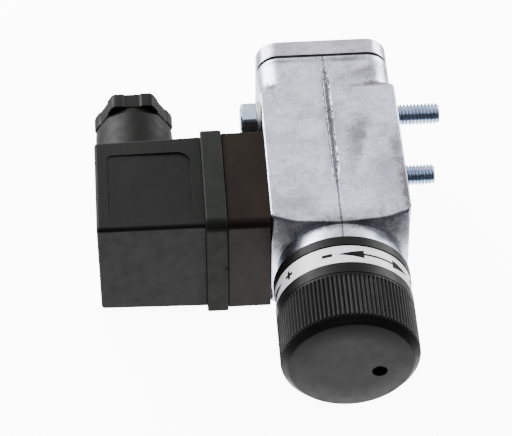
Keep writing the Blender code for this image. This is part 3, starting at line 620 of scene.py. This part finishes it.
def quarter_round(y, start, end):
    """Falls from 1 to 0 along a quarter of an ellipse."""
    share = min(max((y - start) / (end - start), 0.0), 1.0)
    return math.sqrt(1 - share * share)


def right_corner(y):
    """The right corners change on a quarter round at the flange pad's end."""
    return HEAD_CORNER - (HEAD_CORNER - BODY_CORNER) * quarter_round(y, *RIGHT_RUNOUT_Y)


def pad_rise(y):
    """How far the flange pad stands out of the right side."""
    start, end = PAD_Y
    rise = (FLANGE_X - HALF_WIDTH) * smooth_step(y, start, start + 0.5)
    return rise * quarter_round(y, RIGHT_RUNOUT_Y[0], end)


def round_limit(y):
    """The radius of the neck, of its short flare, and of the cone that trims the square body's end."""
    if y < CONE_Y:
        return max(NECK_RADIUS, CONE_RADIUS + (y - CONE_Y) * FLARE_SLOPE)
    return CONE_RADIUS + (y - CONE_Y) / CONE_RISE


def housing_ring(y, inset=0.0):
    """The housing's outline at this height. The cone blends softly into the front and back faces."""
    left, right = left_corner(y) - inset, right_corner(y) - inset
    radii = (right, left, left, right)
    half_u, half_v = HALF_WIDTH - inset, HALF_DEPTH - inset
    soft = 5.0 * smooth_step(y, CONE_Y + 0.25, CONE_Y + 2.5)
    points = []
    for x, z in rounded_rectangle(half_u, half_v, radii, FRONT_SHARES, SIDE_SHARES, 10):
        x += pad_rise(y) * smooth_step(x, 11.0, 14.2)
        radius = math.hypot(x, z)
        blend = 0.5 + soft * smooth_step(abs(z), 0.65 * abs(x), 1.8 * abs(x) + 0.1)
        kept = smooth_minimum(radius, round_limit(y), blend) / radius
        x, z = x * kept, z * kept
        rise = waviness(x, y, z) * smooth_step(y, 0.0, 3.0)
        if abs(x) < 1.5:
            rise += seam_rise(x, y) * (1.0 if z > 0 else 0.5)
        outward = 1 + rise / math.hypot(x, z)
        points.append(Vector((x * outward, y, z * outward)))
    return points


def spaced(low, high, step):
    """Even heights from low up to, and without, high."""
    count = math.ceil((high - low) / step)
    return [low + (high - low) * n / count for n in range(count)]


def make_housing():
    low = span("housing", "Y")[0]
    neck_end = CONE_Y - (CONE_RADIUS - NECK_RADIUS) / FLARE_SLOPE
    runout = LEFT_RUNOUT_Y[0] - 0.3
    stations = spaced(low, neck_end, 0.8) + [neck_end]
    stations += spaced(CONE_Y, 1.6, 0.12) + spaced(1.6, runout, 0.36)
    stations += spaced(runout, 41.0, 0.16) + spaced(41.0, HEAD_Y - 0.25, 0.36)
    rings = [housing_ring(y) for y in stations]
    rings += [housing_ring(HEAD_Y - drop, inset) for drop, inset in ((0.25, 0.0), (0.07, 0.08), (0.0, 0.25))]

    bores = [(0, 52), (10.3, 52), (10.3, 44), (3.3, 44), (3.3, 33), (6.2, 33), (6.2, 0.5), (5.3, 0.5)]
    bores += [(5.3, -8), (0, -8)]
    mounting_hole = [(0, -18), (2.75, -18), (2.75, 18), (0, 18)]
    mounting_holes = [turned(mounting_hole, "X", (MOUNT_Y, z), 48) for z in (-MOUNT_Z, MOUNT_Z)]
    port = [(0, 18), (5.15, 18), (5.0, FLANGE_X - 0.15), (5.0, 14.2), (2.5, 14.2), (2.5, 11.4), (0, 11.4)]
    screw_hole = [(0, 41.5), (1.7, 41.5), (1.7, 52), (0, 52)]
    channel = [(0, MOUNT_Y - 1), (1.1, MOUNT_Y - 1), (1.1, 52), (0, 52)]
    shape = cut(
        loft(rings),
        turned(bores, "Y"),
        joined(*mounting_holes),
        turned(port, "X", (MOUNT_Y, 0.0)),
        turned(channel, "Y", (12.3, 0.0), 24),
        joined(*[turned(screw_hole, "Y", at, 24) for at in COVER_SCREWS]),
        box((-17.0, -7.2), (5.0, 25.2), (-7.2, 7.2)),
        box((-13.9, -7.2), (24.0, 27.0), (-7.2, 7.2)),
        box((-12.5, -2.0), (26.0, 32.5), (-3.3, 3.3)),
        box((5.0, 7.4), (3.0, 20.0), (-1.3, 1.3)),
    )
    place("cast_housing", shape, HOUSING_ALUMINIUM, "body", ["housing"], 38.0)


def make_cover():
    """The cover, whose top edge is rounded. Its wave has its own place in the noise."""
    low, high = span("cover", "Y")
    rings = []
    edge = 0.32
    stations = [(low, 0.2), (low + 0.06, 0.06), (low + 0.2, 0.0)]
    stations += [(low + 0.2 + (high - edge - low - 0.2) * n / 8, 0.0) for n in range(1, 9)]
    for angle in (0.3, 0.6, 0.9, 1.2, math.pi / 2):
        stations.append((high - edge * (1 - math.sin(angle)), edge * (1 - math.cos(angle))))
    shares = [n / 10 for n in range(-9, 10)]
    for y, inset in stations:
        half_u, half_v, corner = HALF_WIDTH - inset, HALF_DEPTH - inset, HEAD_CORNER - inset
        outline = rounded_rectangle(half_u, half_v, corner, shares, shares, 10)
        ring = []
        for x, z in outline:
            outward = 1 + waviness(x + 40, y, z) / math.hypot(x, z)
            ring.append(Vector((x * outward, y, z * outward)))
        rings.append(ring)
    shape = loft(rings)
    hole = [(0, low - 1), (1.7, low - 1), (1.7, high - 2.5), (2.9, high - 2.5)]
    hole += [(2.9, high - 0.2), (3.3, high + 0.2), (0, high + 0.2)]
    holes = [turned(hole, "Y", at, 40) for at in COVER_SCREWS]
    chamber = turned([(0, low - 1), (8, low - 1), (8, low + 1.5), (0, low + 1.5)], "Y", sides=48)
    groove = box((6.0, 13.4), (low - 1, low + 1.1), (-1.1, 1.1))
    shape = cut(shape, joined(*holes), chamber, groove)
    place("cast_cover", shape, COVER_ALUMINIUM, "body", ["cover"], 38.0)


def hexagon_socket(along, limits, centre, across_flats, turn=0.0):
    radius = across_flats / math.sqrt(3)
    angles = [math.pi / 3 * n + turn for n in range(6)]
    return loft([[around(along, height, centre, radius, angle) for angle in angles] for height in limits])


def make_cover_screws():
    """Cap screws whose heads are knurled on their straight side."""
    bottom, top = span("cover_screw_1", "Y")
    head_radius, sides, knurls = 2.5, 96, 32
    profile = [(1.25, bottom), (1.45, bottom + 0.3), (1.45, top - 1.8), (2.42, top - 1.8)]
    profile += [(head_radius, top - 1.7), (head_radius, top - 0.35), (2.42, top - 0.12), (2.2, top)]
    for n in range(1, 5):
        low, high = box_mm(f"cover_screw_{n}")
        centre = ((low.x + high.x) / 2, (low.z + high.z) / 2)
        rings = []
        for radius, height in profile:
            ring = []
            for k in range(sides):
                angle = 2 * math.pi * k / sides
                knurl = 0.05 * math.cos(angle * knurls) if radius == head_radius else 0.0
                ring.append(around("Y", height, centre, radius + knurl, angle))
            rings.append(ring)
        shape = cut(loft(rings), hexagon_socket("Y", (top - 1.2, top + 1), centre, 2.5, 0.3 * n))
        place(f"cover_cap_screw_{n}", shape, ZINC, "body", [f"cover_screw_{n}"])


# ---- mounting screws and flange seal ----

THREAD_PITCH = 0.8
THREAD_CREST = 2.45
THREAD_ROOT = 1.97
THREAD_START = 8.0
THREAD_PHASES = [(0.0, THREAD_ROOT), (0.12, THREAD_ROOT), (0.45, THREAD_CREST), (0.55, THREAD_CREST)]
THREAD_PHASES.append((0.88, THREAD_ROOT))
SHANK_RADIUS = 2.4
HEAD_FLATS = 7.9
HEAD_TURN_DEG = (6.0, 20.0)


def threaded_end(centre, low, high, sides=60):
    """A threaded rod along X, each row of points on the helix, with a short chamfer at its end."""
    bm = bmesh.new()
    rows = []
    for turn in range(-2, int((high - low) / THREAD_PITCH) + 3):
        for phase, radius in THREAD_PHASES:
            start = low + (turn + phase) * THREAD_PITCH
            row = []
            for n in range(sides + 1):
                x = min(max(start + THREAD_PITCH * n / sides, low), high)
                depth = (THREAD_CREST - radius) * smooth_step(x, low + 0.2, low + 1.2)
                limited = min(THREAD_CREST - depth, THREAD_ROOT - 0.1 + (high - x))
                row.append(bm.verts.new(around("X", x, centre, limited, 2 * math.pi * n / sides)))
            rows.append(row)
    for first, second in zip(rows, rows[1:]):
        for n in range(sides):
            bm.faces.new((first[n], first[n + 1], second[n + 1], second[n]))
    bmesh.ops.remove_doubles(bm, verts=bm.verts, dist=1e-4)
    bmesh.ops.holes_fill(bm, edges=[edge for edge in bm.edges if edge.is_boundary], sides=0)
    bmesh.ops.recalc_face_normals(bm, faces=bm.faces)
    return bm


def hexagon_head(centre, low, high, turn_deg):
    """A hexagon head along X, whose outer end a 30 degree cone chamfers."""
    half = HEAD_FLATS / 2
    per_side = 12
    rings = []
    for x in (low, low + 0.06, low + 0.12, low + 0.2, low + 0.3, low + 0.42, low + 0.55, high):
        cone = half * 0.88 + (x - low) * math.sqrt(3)
        ring = []
        for n in range(6 * per_side):
            local = math.pi / 3 * (n % per_side) / per_side - math.pi / 6
            radius = min(half / math.cos(local), half / math.cos(math.pi / 6) - 0.06, cone)
            angle = math.pi / 3 * n / per_side + math.radians(turn_deg)
            ring.append(around("X", x, centre, radius, angle))
        rings.append(ring)
    return loft(rings)


def make_mounting_screws():
    head_high = span("spring_washer_1", "X")[0] - 0.1
    for n, turn_deg in enumerate(HEAD_TURN_DEG, 1):
        low, high = box_mm(f"mounting_screw_{n}")
        centre = ((low.y + high.y) / 2, (low.z + high.z) / 2)
        head = hexagon_head(centre, low.x, head_high, turn_deg)
        shank_end = THREAD_START + 0.3
        profile = [(0, head_high - 1), (SHANK_RADIUS, head_high - 1)]
        profile += [(SHANK_RADIUS, shank_end), (0, shank_end)]
        shank = turned(profile, "X", centre, 60)
        shape = fused(head, shank, threaded_end(centre, THREAD_START, high.x))
        place(f"flange_screw_{n}", shape, ZINC, "body", [f"mounting_screw_{n}"], 30.0)
        make_spring_washer(n, centre)


def make_spring_washer(n, centre):
    """A flat coil of one turn, split where its ends stand a little apart."""
    low, high = span(f"spring_washer_{n}", "X")
    inner, outer = 2.6, 4.55
    steps = 60
    gap = 0.1
    section = [(inner, low + 0.06), (outer - 0.1, low + 0.06), (outer, low + 0.14)]
    section += [(outer, high - 0.14), (outer - 0.1, high - 0.06), (inner, high - 0.06)]
    rings = []
    for k in range(steps + 1):
        share = k / steps
        angle = gap + (2 * math.pi - 2 * gap) * share + math.pi * n
        rise = 0.1 * (share - 0.5)
        rings.append([around("X", x + rise, centre, radius, angle) for radius, x in section])
    place(f"split_washer_{n}", loft(rings), SPRING_STEEL, "body", [f"spring_washer_{n}"])


def o_ring(radius, section, height, along, centre, sides=72):
    profile = []
    for n in range(16):
        angle = 2 * math.pi * n / 16
        profile.append((radius + section * math.cos(angle), height + section * math.sin(angle)))
    return turned(profile, along, centre, sides, closed=True)


def make_flange_seal():
    low, high = span("flange_o_ring", "X")
    section = (high - low) / 2
    outer = (span("flange_o_ring", "Y")[1] - span("flange_o_ring", "Y")[0]) / 2
    shape = o_ring(outer - section, section, (low + high) / 2, "X", (MOUNT_Y, 0.0))
    place("port_o_ring", shape, BLACK_RUBBER, "body", ["flange_o_ring"])


# ---- knob and scale ----

KNOB_RADIUS = (span("knob", "X")[1] - span("knob", "X")[0]) / 2
KNOB_END, KNOB_TOP = span("knob", "Y")
RIBS = 96
POINTS_PER_RIB = 8
RIB_Y = (KNOB_END + 1.2, -16.9)
RIB_DEPTH = 0.4
KNOB_CHAMFER = 1.75
SCALE_Y = span("scale_ring", "Y")
SCALE_RADIUS = (span("scale_ring", "X")[1] - span("scale_ring", "X")[0]) / 2
LOCK_CENTRE = (sum(span("knob_lock_screw", "X")) / 2, sum(span("knob_lock_screw", "Z")) / 2)


def knob_profile():
    """(radius, height, ribbed) from the inside, over the open rim and down to the closed end's middle."""
    scale_low, scale_high = SCALE_Y[0] - 0.1, SCALE_Y[1] + 0.1
    end_radius = KNOB_RADIUS - 1.7
    r = KNOB_RADIUS
    rib_low, rib_high = RIB_Y
    smooth = [(0, -25.4), (3.15, -25.4), (3.15, -8.2), (6.0, -8.2), (6.0, -26.3), (12.9, -26.3)]
    smooth += [(12.9, -7.6), (14.1, -7.6), (14.1, KNOB_TOP)]
    smooth += [(r - 0.12, KNOB_TOP), (r, KNOB_TOP - 0.12), (r, scale_high + 0.08), (r - 0.08, scale_high)]
    smooth += [(14.4, scale_high), (14.4, scale_low), (r - 0.08, scale_low), (r, scale_low - 0.08)]
    smooth += [(r, -16.25), (r - 0.12, -16.35), (r - 0.12, -16.5), (r, -16.6), (r, rib_high + 0.05)]
    grip = [rib_high - 0.25 * n for n in range(3)]
    grip += [rib_high - 0.75 - (rib_high - rib_low - 1.5) * n / 5 for n in range(6)]
    grip += [KNOB_END + KNOB_CHAMFER - 0.1 * n for n in range(7)]
    bottom = [(r, KNOB_END + 1.05), (r, KNOB_END + 0.6), (end_radius + 0.14, KNOB_END + 0.1)]
    bottom += [(end_radius - 0.1, KNOB_END), (8.0, KNOB_END), (0.0, KNOB_END)]
    points = [(radius, height, False) for radius, height in smooth]
    points += [(r, height, True) for height in grip]
    return points + [(radius, height, False) for radius, height in bottom]


def make_knob():
    """One closed profile turned about the axis. The ribs of its grip run out in the end's chamfer."""
    sides = RIBS * POINTS_PER_RIB
    rings = []
    for radius, height, ribbed in knob_profile():
        depth = RIB_DEPTH * (1 - smooth_step(height, RIB_Y[1] - 0.5, RIB_Y[1])) if ribbed else 0.0
        chamfer = max(0.0, KNOB_END + KNOB_CHAMFER - height) * 0.97 if radius == KNOB_RADIUS else 0.0
        ring = []
        for n in range(sides):
            angle = 2 * math.pi * n / sides
            wave = 0.5 - 0.5 * math.cos(2 * math.pi * (n % POINTS_PER_RIB) / POINTS_PER_RIB)
            here = radius - max(depth * wave**1.5, chamfer)
            ring.append(Vector((here * math.sin(angle), height, here * math.cos(angle))))
        rings.append(ring)
    hole = [(0, KNOB_END - 1), (1.75, KNOB_END - 1), (1.65, KNOB_END + 0.12), (1.65, -7.5), (0, -7.5)]
    boss = [(0, -27.3), (0, -15.0), (3.2, -15.0), (3.2, -27.3)]
    shape = fused(loft(rings), turned(boss, "Y", LOCK_CENTRE, 40))
    shape = cut(shape, turned(hole, "Y", LOCK_CENTRE, 40))
    place("setting_knob", shape, KNOB_PLASTIC, "knob", ["knob"], 40.0)


def make_lock_screw():
    low, high = span("knob_lock_screw", "Y")
    profile = [(0, high), (1.2, high), (1.45, high - 0.25), (1.45, low + 0.25), (1.25, low), (0, low)]
    socket = hexagon_socket("Y", (low - 1, low + 2.2), LOCK_CENTRE, 1.5)
    shape = cut(turned(profile, "Y", LOCK_CENTRE, 40), socket)
    place("lock_set_screw", shape, BLACK_OXIDE, "knob", ["knob_lock_screw"])


def make_scale_ring():
    low, high = SCALE_Y
    outer, inner = SCALE_RADIUS, 14.5
    profile = [(outer, low + 0.05), (outer, high - 0.05), (outer - 0.05, high)]
    profile += [(inner, high), (inner, low), (outer - 0.05, low)]
    shape = turned(profile, "Y", sides=192, closed=True)
    place("scale_band", shape, SCALE_FILM, "knob", ["scale_ring"])


def printed(outline):
    """A thin raised shape on the scale. The outline gives (angle in degrees, low y, high y) along it."""
    buried, raised = SCALE_RADIUS - 0.02, SCALE_RADIUS + 0.025
    rings = []
    for angle_deg, low, high in outline:
        angle = math.radians(angle_deg)
        corners = ((buried, low), (raised, low), (raised, high), (buried, high))
        side, front = math.sin(angle), math.cos(angle)
        rings.append([Vector((radius * side, y, radius * front)) for radius, y in corners])
    return loft(rings)


def printed_bar(start, end, half_height, middle):
    steps = max(2, int(abs(end - start)))
    low, high = middle - half_height, middle + half_height
    return printed([(start + (end - start) * n / steps, low, high) for n in range(steps + 1)])


def printed_head(tip, base, half_height, middle):
    """An arrow head that widens from its tip to its base."""
    steps = 16
    outline = []
    for n in range(steps + 1):
        half = half_height * max(n, 0.1) / steps
        outline.append((tip + (base - tip) * n / steps, middle - half, middle + half))
    return printed(outline)


def make_scale_marks():
    """Minus, a double arrow and plus, twice round the scale. Angles run from the front towards the flange."""
    middle = sum(SCALE_Y) / 2
    shapes = []
    for start in (0.0, -129.0):
        shapes.append(printed_bar(start - 20.0, start - 11.2, 0.4, middle))
        shapes.append(printed_head(start - 7.0, start + 15.4, 1.05, middle))
        shapes.append(printed_bar(start + 15.4, start + 43.0, 0.24, middle))
        shapes.append(printed_head(start + 64.4, start + 43.0, 1.05, middle))
        shapes.append(printed_bar(start + 70.4, start + 79.0, 0.34, middle))
        shapes.append(printed_bar(start + 73.4, start + 76.0, 1.1, middle))
    place("scale_marks", joined(*shapes), SCALE_INK, "knob")


# ---- connector ----

PLUG_Y = sum(span("plug_screw", "Y")) / 2


def make_connector_base():
    low, high = span("connector_base", "X")[0], -HALF_WIDTH
    half = span("connector_base", "Z")[1]
    shape = bar("X", (low, high), half, half, (PLUG_Y, 0.0), (0.5, 1.9, 0.5, 0.5), 0.25)
    shape = cut(
        shape,
        box((-19.3, high + 1), (3.0, 24.0), (-7.4, 7.4)),
        turned([(0, -17), (2.85, -17), (2.85, low - 1), (0, low - 1)], "X", (PLUG_Y, 0.0), 32),
    )
    place("connector_block", shape, BASE_PLASTIC, "body", ["connector_base"])


def make_gasket():
    """The profile gasket, with two nubs of flash that its moulding left."""
    low, high = span("plug_housing", "X")[1], span("connector_base", "X")[0] - 0.02
    half = span("plug_gasket", "Z")[1] - 0.05
    shape = bar("X", (low, high), half, half, (PLUG_Y, 0.0), (1.4, 2.5, 1.4, 1.4), 0.45, steps=5, arc=12)
    opening = bar("X", (low - 1, high + 1), 11.3, 11.3, (PLUG_Y, 0.0), 1.0, 0.1)
    split = (high - 0.5, high - 0.2)
    flash_top = box(split, (PLUG_Y + half - 0.3, PLUG_Y + half + 0.35), (half - 2.9, half - 2.4))
    flash_low = box(split, (PLUG_Y - half - 0.3, PLUG_Y - half + 0.3), (-0.6, 0.6))
    shape = fused(cut(shape, opening), flash_top, flash_low)
    place("profile_gasket", shape, GASKET_RUBBER, "body", ["plug_gasket"])


PLUG_HALF = 13.15
PLUG_FLARE = 0.35
BOSS_RADIUS = 8.76
RECESS_DEPTH = 0.28
RECESS_HALF = (1.75, 2.1)


def make_plug():
    low, high = span("plug_housing", "X")
    shape = bar("X", (low, high), PLUG_HALF, PLUG_HALF, (PLUG_Y, 0.0), 0.9, (0.7, 0.15), PLUG_FLARE, steps=5)
    gland_x = sum(span("gland_nut", "X")) / 2
    top = span("plug_housing", "Y")[1]
    boss = [(0, 20), (BOSS_RADIUS, 20), (BOSS_RADIUS, top - 0.25), (BOSS_RADIUS - 0.25, top), (0, top)]
    face = PLUG_HALF + PLUG_FLARE * 0.45
    panel = bar("Z", (face - 0.28, face + 3), 9.2, 9.2, (-40.7, 13.1), (3.3, 1.2, 1.0, 1.2), 0.05)
    screw_seat = [(0, low - 1), (3.9, low - 1), (3.6, low + 0.3), (3.6, -50)]
    screw_seat += [(1.8, -50), (1.8, -47), (0, -47)]
    shape = cut(
        fused(shape, turned(boss, "Y", (gland_x, 0.0), 128)),
        box((-48.6, high + 1), (PLUG_Y - 11.1, PLUG_Y + 11.1), (-11.1, 11.1)),
        turned([(0, 22), (6.5, 22), (6.5, top + 1), (0, top + 1)], "Y", (gland_x, 0.0), 48),
        turned(screw_seat, "X", (PLUG_Y, 0.0)),
        panel,
    )
    place("plug_shell", shape, PLUG_PLASTIC, "body", ["plug_housing"])


def make_gland():
    """The hexagon nut, with a shallow recess down the middle of each side."""
    nut_low, nut_high = span("gland_nut", "Y")
    gland_x = sum(span("gland_nut", "X")) / 2
    hex_low = 42.6
    radius = (span("gland_nut", "X")[1] - span("gland_nut", "X")[0]) / 2
    half = radius * math.cos(math.pi / 6)
    per_side = 28
    stations = [(hex_low, 0.3), (hex_low + 0.12, 0.08), (hex_low + 0.35, 0.0)]
    stations += [(nut_high - 0.5, 0.0), (nut_high - 0.15, 0.12), (nut_high, 0.4)]
    rings = []
    for y, inset in stations:
        ring = []
        for n in range(6 * per_side):
            angle = math.pi / 3 * n / per_side
            local = (angle % (math.pi / 3)) - math.pi / 6
            distance = half / math.cos(local)
            across = abs(math.tan(local)) * half
            distance -= RECESS_DEPTH * (1 - smooth_step(across, *RECESS_HALF))
            distance = smooth_minimum(distance, radius - 0.15, 0.3) - inset
            ring.append(Vector((gland_x + distance * math.cos(angle), y, distance * math.sin(angle))))
        rings.append(ring)
    spigot = [(0, hex_low + 1), (7.4, hex_low + 1), (7.4, 40.5), (6.2, 40.5), (6.2, nut_low), (0, nut_low)]
    bore = [(0, nut_low - 1), (4.2, nut_low - 1), (4.2, nut_high - 1.2)]
    bore += [(4.9, nut_high + 0.2), (0, nut_high + 0.2)]
    shape = fused(loft(rings), turned(spigot, "Y", (gland_x, 0.0), 64))
    shape = cut(shape, turned(bore, "Y", (gland_x, 0.0), 64))
    place("gland_hexagon_nut", shape, PLUG_PLASTIC, "body", ["gland_nut"])


def make_plug_screw():
    low, high = span("plug_screw", "X")
    centre = (PLUG_Y, 0.0)
    profile = [(0, high), (1.2, high), (1.5, high - 0.3), (1.5, -50.9), (2.9, -50.9), (3.0, -51.0)]
    profile += [(3.0, low + 0.25), (2.8, low), (0, low)]
    slot = box((low - 1, low + 0.9), (PLUG_Y - 0.4, PLUG_Y + 0.4), (-4.0, 4.0))
    shape = cut(turned(profile, "X", centre, 56), slot)
    place("plug_centre_screw", shape, ZINC, "body", ["plug_screw"])


# ---- stage, light and camera ----

BACKDROP_RADIUS = 1.6
BACKDROP_BEND = 0.3
BACKDROP_STEPS = 24
BACKDROP_GLOW = 10.0


def make_stage():
    """A white floor that curves up into a white dome. It is lit for the camera alone, so it isn't a lamp."""
    floor_z = CAD_BOUNDS[0].z
    flat = 1 - BACKDROP_BEND
    profile = [(0.0, floor_z), (BACKDROP_RADIUS * flat, floor_z)]
    angles = [math.pi / 2 * n / BACKDROP_STEPS for n in range(1, BACKDROP_STEPS + 1)]
    for angle in angles:
        height = floor_z + BACKDROP_BEND * BACKDROP_RADIUS * (1 - math.cos(angle))
        profile.append((BACKDROP_RADIUS * (flat + BACKDROP_BEND * math.sin(angle)), height))
    for angle in angles:
        height = floor_z + BACKDROP_RADIUS * (BACKDROP_BEND + math.sin(angle))
        profile.append((BACKDROP_RADIUS * math.cos(angle), height))
    mesh = bpy.data.meshes.new("floor")
    backdrop = turned(profile, "Z", sides=96)
    backdrop.to_mesh(mesh)
    backdrop.free()
    mesh.shade_smooth()
    obj = bpy.data.objects.new("floor", mesh)
    bpy.context.scene.collection.objects.link(obj)
    for kind in ("diffuse", "glossy", "transmission", "volume_scatter", "shadow"):
        setattr(obj, f"visible_{kind}", False)
    finish = Finish("pale_floor", (0.9, 0.9, 0.9), 0.8, specular=0.1)
    finish.shader.inputs["Emission Color"].default_value = (1.0, 1.0, 1.0, 1.0)
    finish.shader.inputs["Emission Strength"].default_value = BACKDROP_GLOW
    mesh.materials.append(finish.material)


SKY = 1.75
FLOOR_LIGHT = 6.0
DARK_ROOM = 0.14


def make_world():
    """Light from behind and overhead, a dark room behind the camera, and the pale floor's light."""
    world = bpy.data.worlds.new("studio")
    world.use_nodes = True
    bpy.context.scene.world = world
    tree = world.node_tree
    split = tree.nodes.new("ShaderNodeSeparateXYZ")
    tree.links.new(tree.nodes.new("ShaderNodeTexCoord").outputs["Generated"], split.inputs["Vector"])

    def ranged(axis, start, end, low, high):
        node = tree.nodes.new("ShaderNodeMapRange")
        node.interpolation_type = "SMOOTHSTEP"
        for socket, value in (("From Min", start), ("From Max", end), ("To Min", low), ("To Max", high)):
            node.inputs[socket].default_value = value
        tree.links.new(split.outputs[axis], node.inputs["Value"])
        return node.outputs["Result"]

    def maths(operation, first, second):
        node = tree.nodes.new("ShaderNodeMath")
        node.operation = operation
        tree.links.new(first, node.inputs[0])
        tree.links.new(second, node.inputs[1])
        return node.outputs["Value"]

    back = maths("MULTIPLY", ranged("Y", -0.15, 0.45, DARK_ROOM, SKY), ranged("Z", -0.8, -0.45, 3.0, 1.0))
    overhead = ranged("Z", 0.7, 0.93, 0.0, SKY)
    floor = maths("MULTIPLY", ranged("Z", -0.78, -0.42, FLOOR_LIGHT, 0.0), ranged("Y", -0.3, 0.3, 1.0, 0.0))
    strength = maths("MAXIMUM", maths("MAXIMUM", back, overhead), floor)
    background = tree.nodes["Background"]
    background.inputs["Color"].default_value = (1.0, 1.0, 1.0, 1.0)
    tree.links.new(strength, background.inputs["Strength"])


def soft_box(name, place_mm, aim_mm, size_mm, power):
    light = bpy.data.lights.new(name, "AREA")
    light.shape = "RECTANGLE"
    light.size, light.size_y = size_mm[0] * MM, size_mm[1] * MM
    light.energy = power
    obj = bpy.data.objects.new(name, light)
    obj.location = Vector(place_mm) * MM
    obj.rotation_euler = (Vector(aim_mm) - Vector(place_mm)).to_track_quat("-Z", "Y").to_euler()
    bpy.context.scene.collection.objects.link(obj)


def make_lights():
    soft_box("left_box", (-290, 330, 150), (0, 0, 10), (320, 320), 4.6)
    soft_box("right_box", (320, 330, 90), (0, 0, 10), (220, 240), 2.0)


CAMERA_PLACE = (-57.1, -382.06, 413.87)
CAMERA_RIGHT = (0.99794, -0.06417, 0.0)
CAMERA_UP = (0.04746, 0.73816, 0.67296)
CAMERA_BACK = (-0.04318, -0.67157, 0.73968)


def make_camera():
    camera = bpy.data.cameras.new("camera")
    camera.sensor_width = 36.0
    camera.lens = 176.94
    camera.clip_start = 0.05
    camera.clip_end = 20.0
    obj = bpy.data.objects.new("camera", camera)
    rotation = Matrix((CAMERA_RIGHT, CAMERA_UP, CAMERA_BACK)).transposed()
    obj.rotation_euler = rotation.to_euler()
    obj.location = Vector(CAMERA_PLACE) * MM
    bpy.context.scene.collection.objects.link(obj)
    bpy.context.scene.camera = obj


refinish_frame()
make_camera()
make_housing()
make_cover()
make_cover_screws()
make_mounting_screws()
make_flange_seal()
make_knob()
make_lock_screw()
make_scale_ring()
make_scale_marks()
make_connector_base()
make_gasket()
make_plug()
make_gland()
make_plug_screw()
make_stage()
make_world()
make_lights()
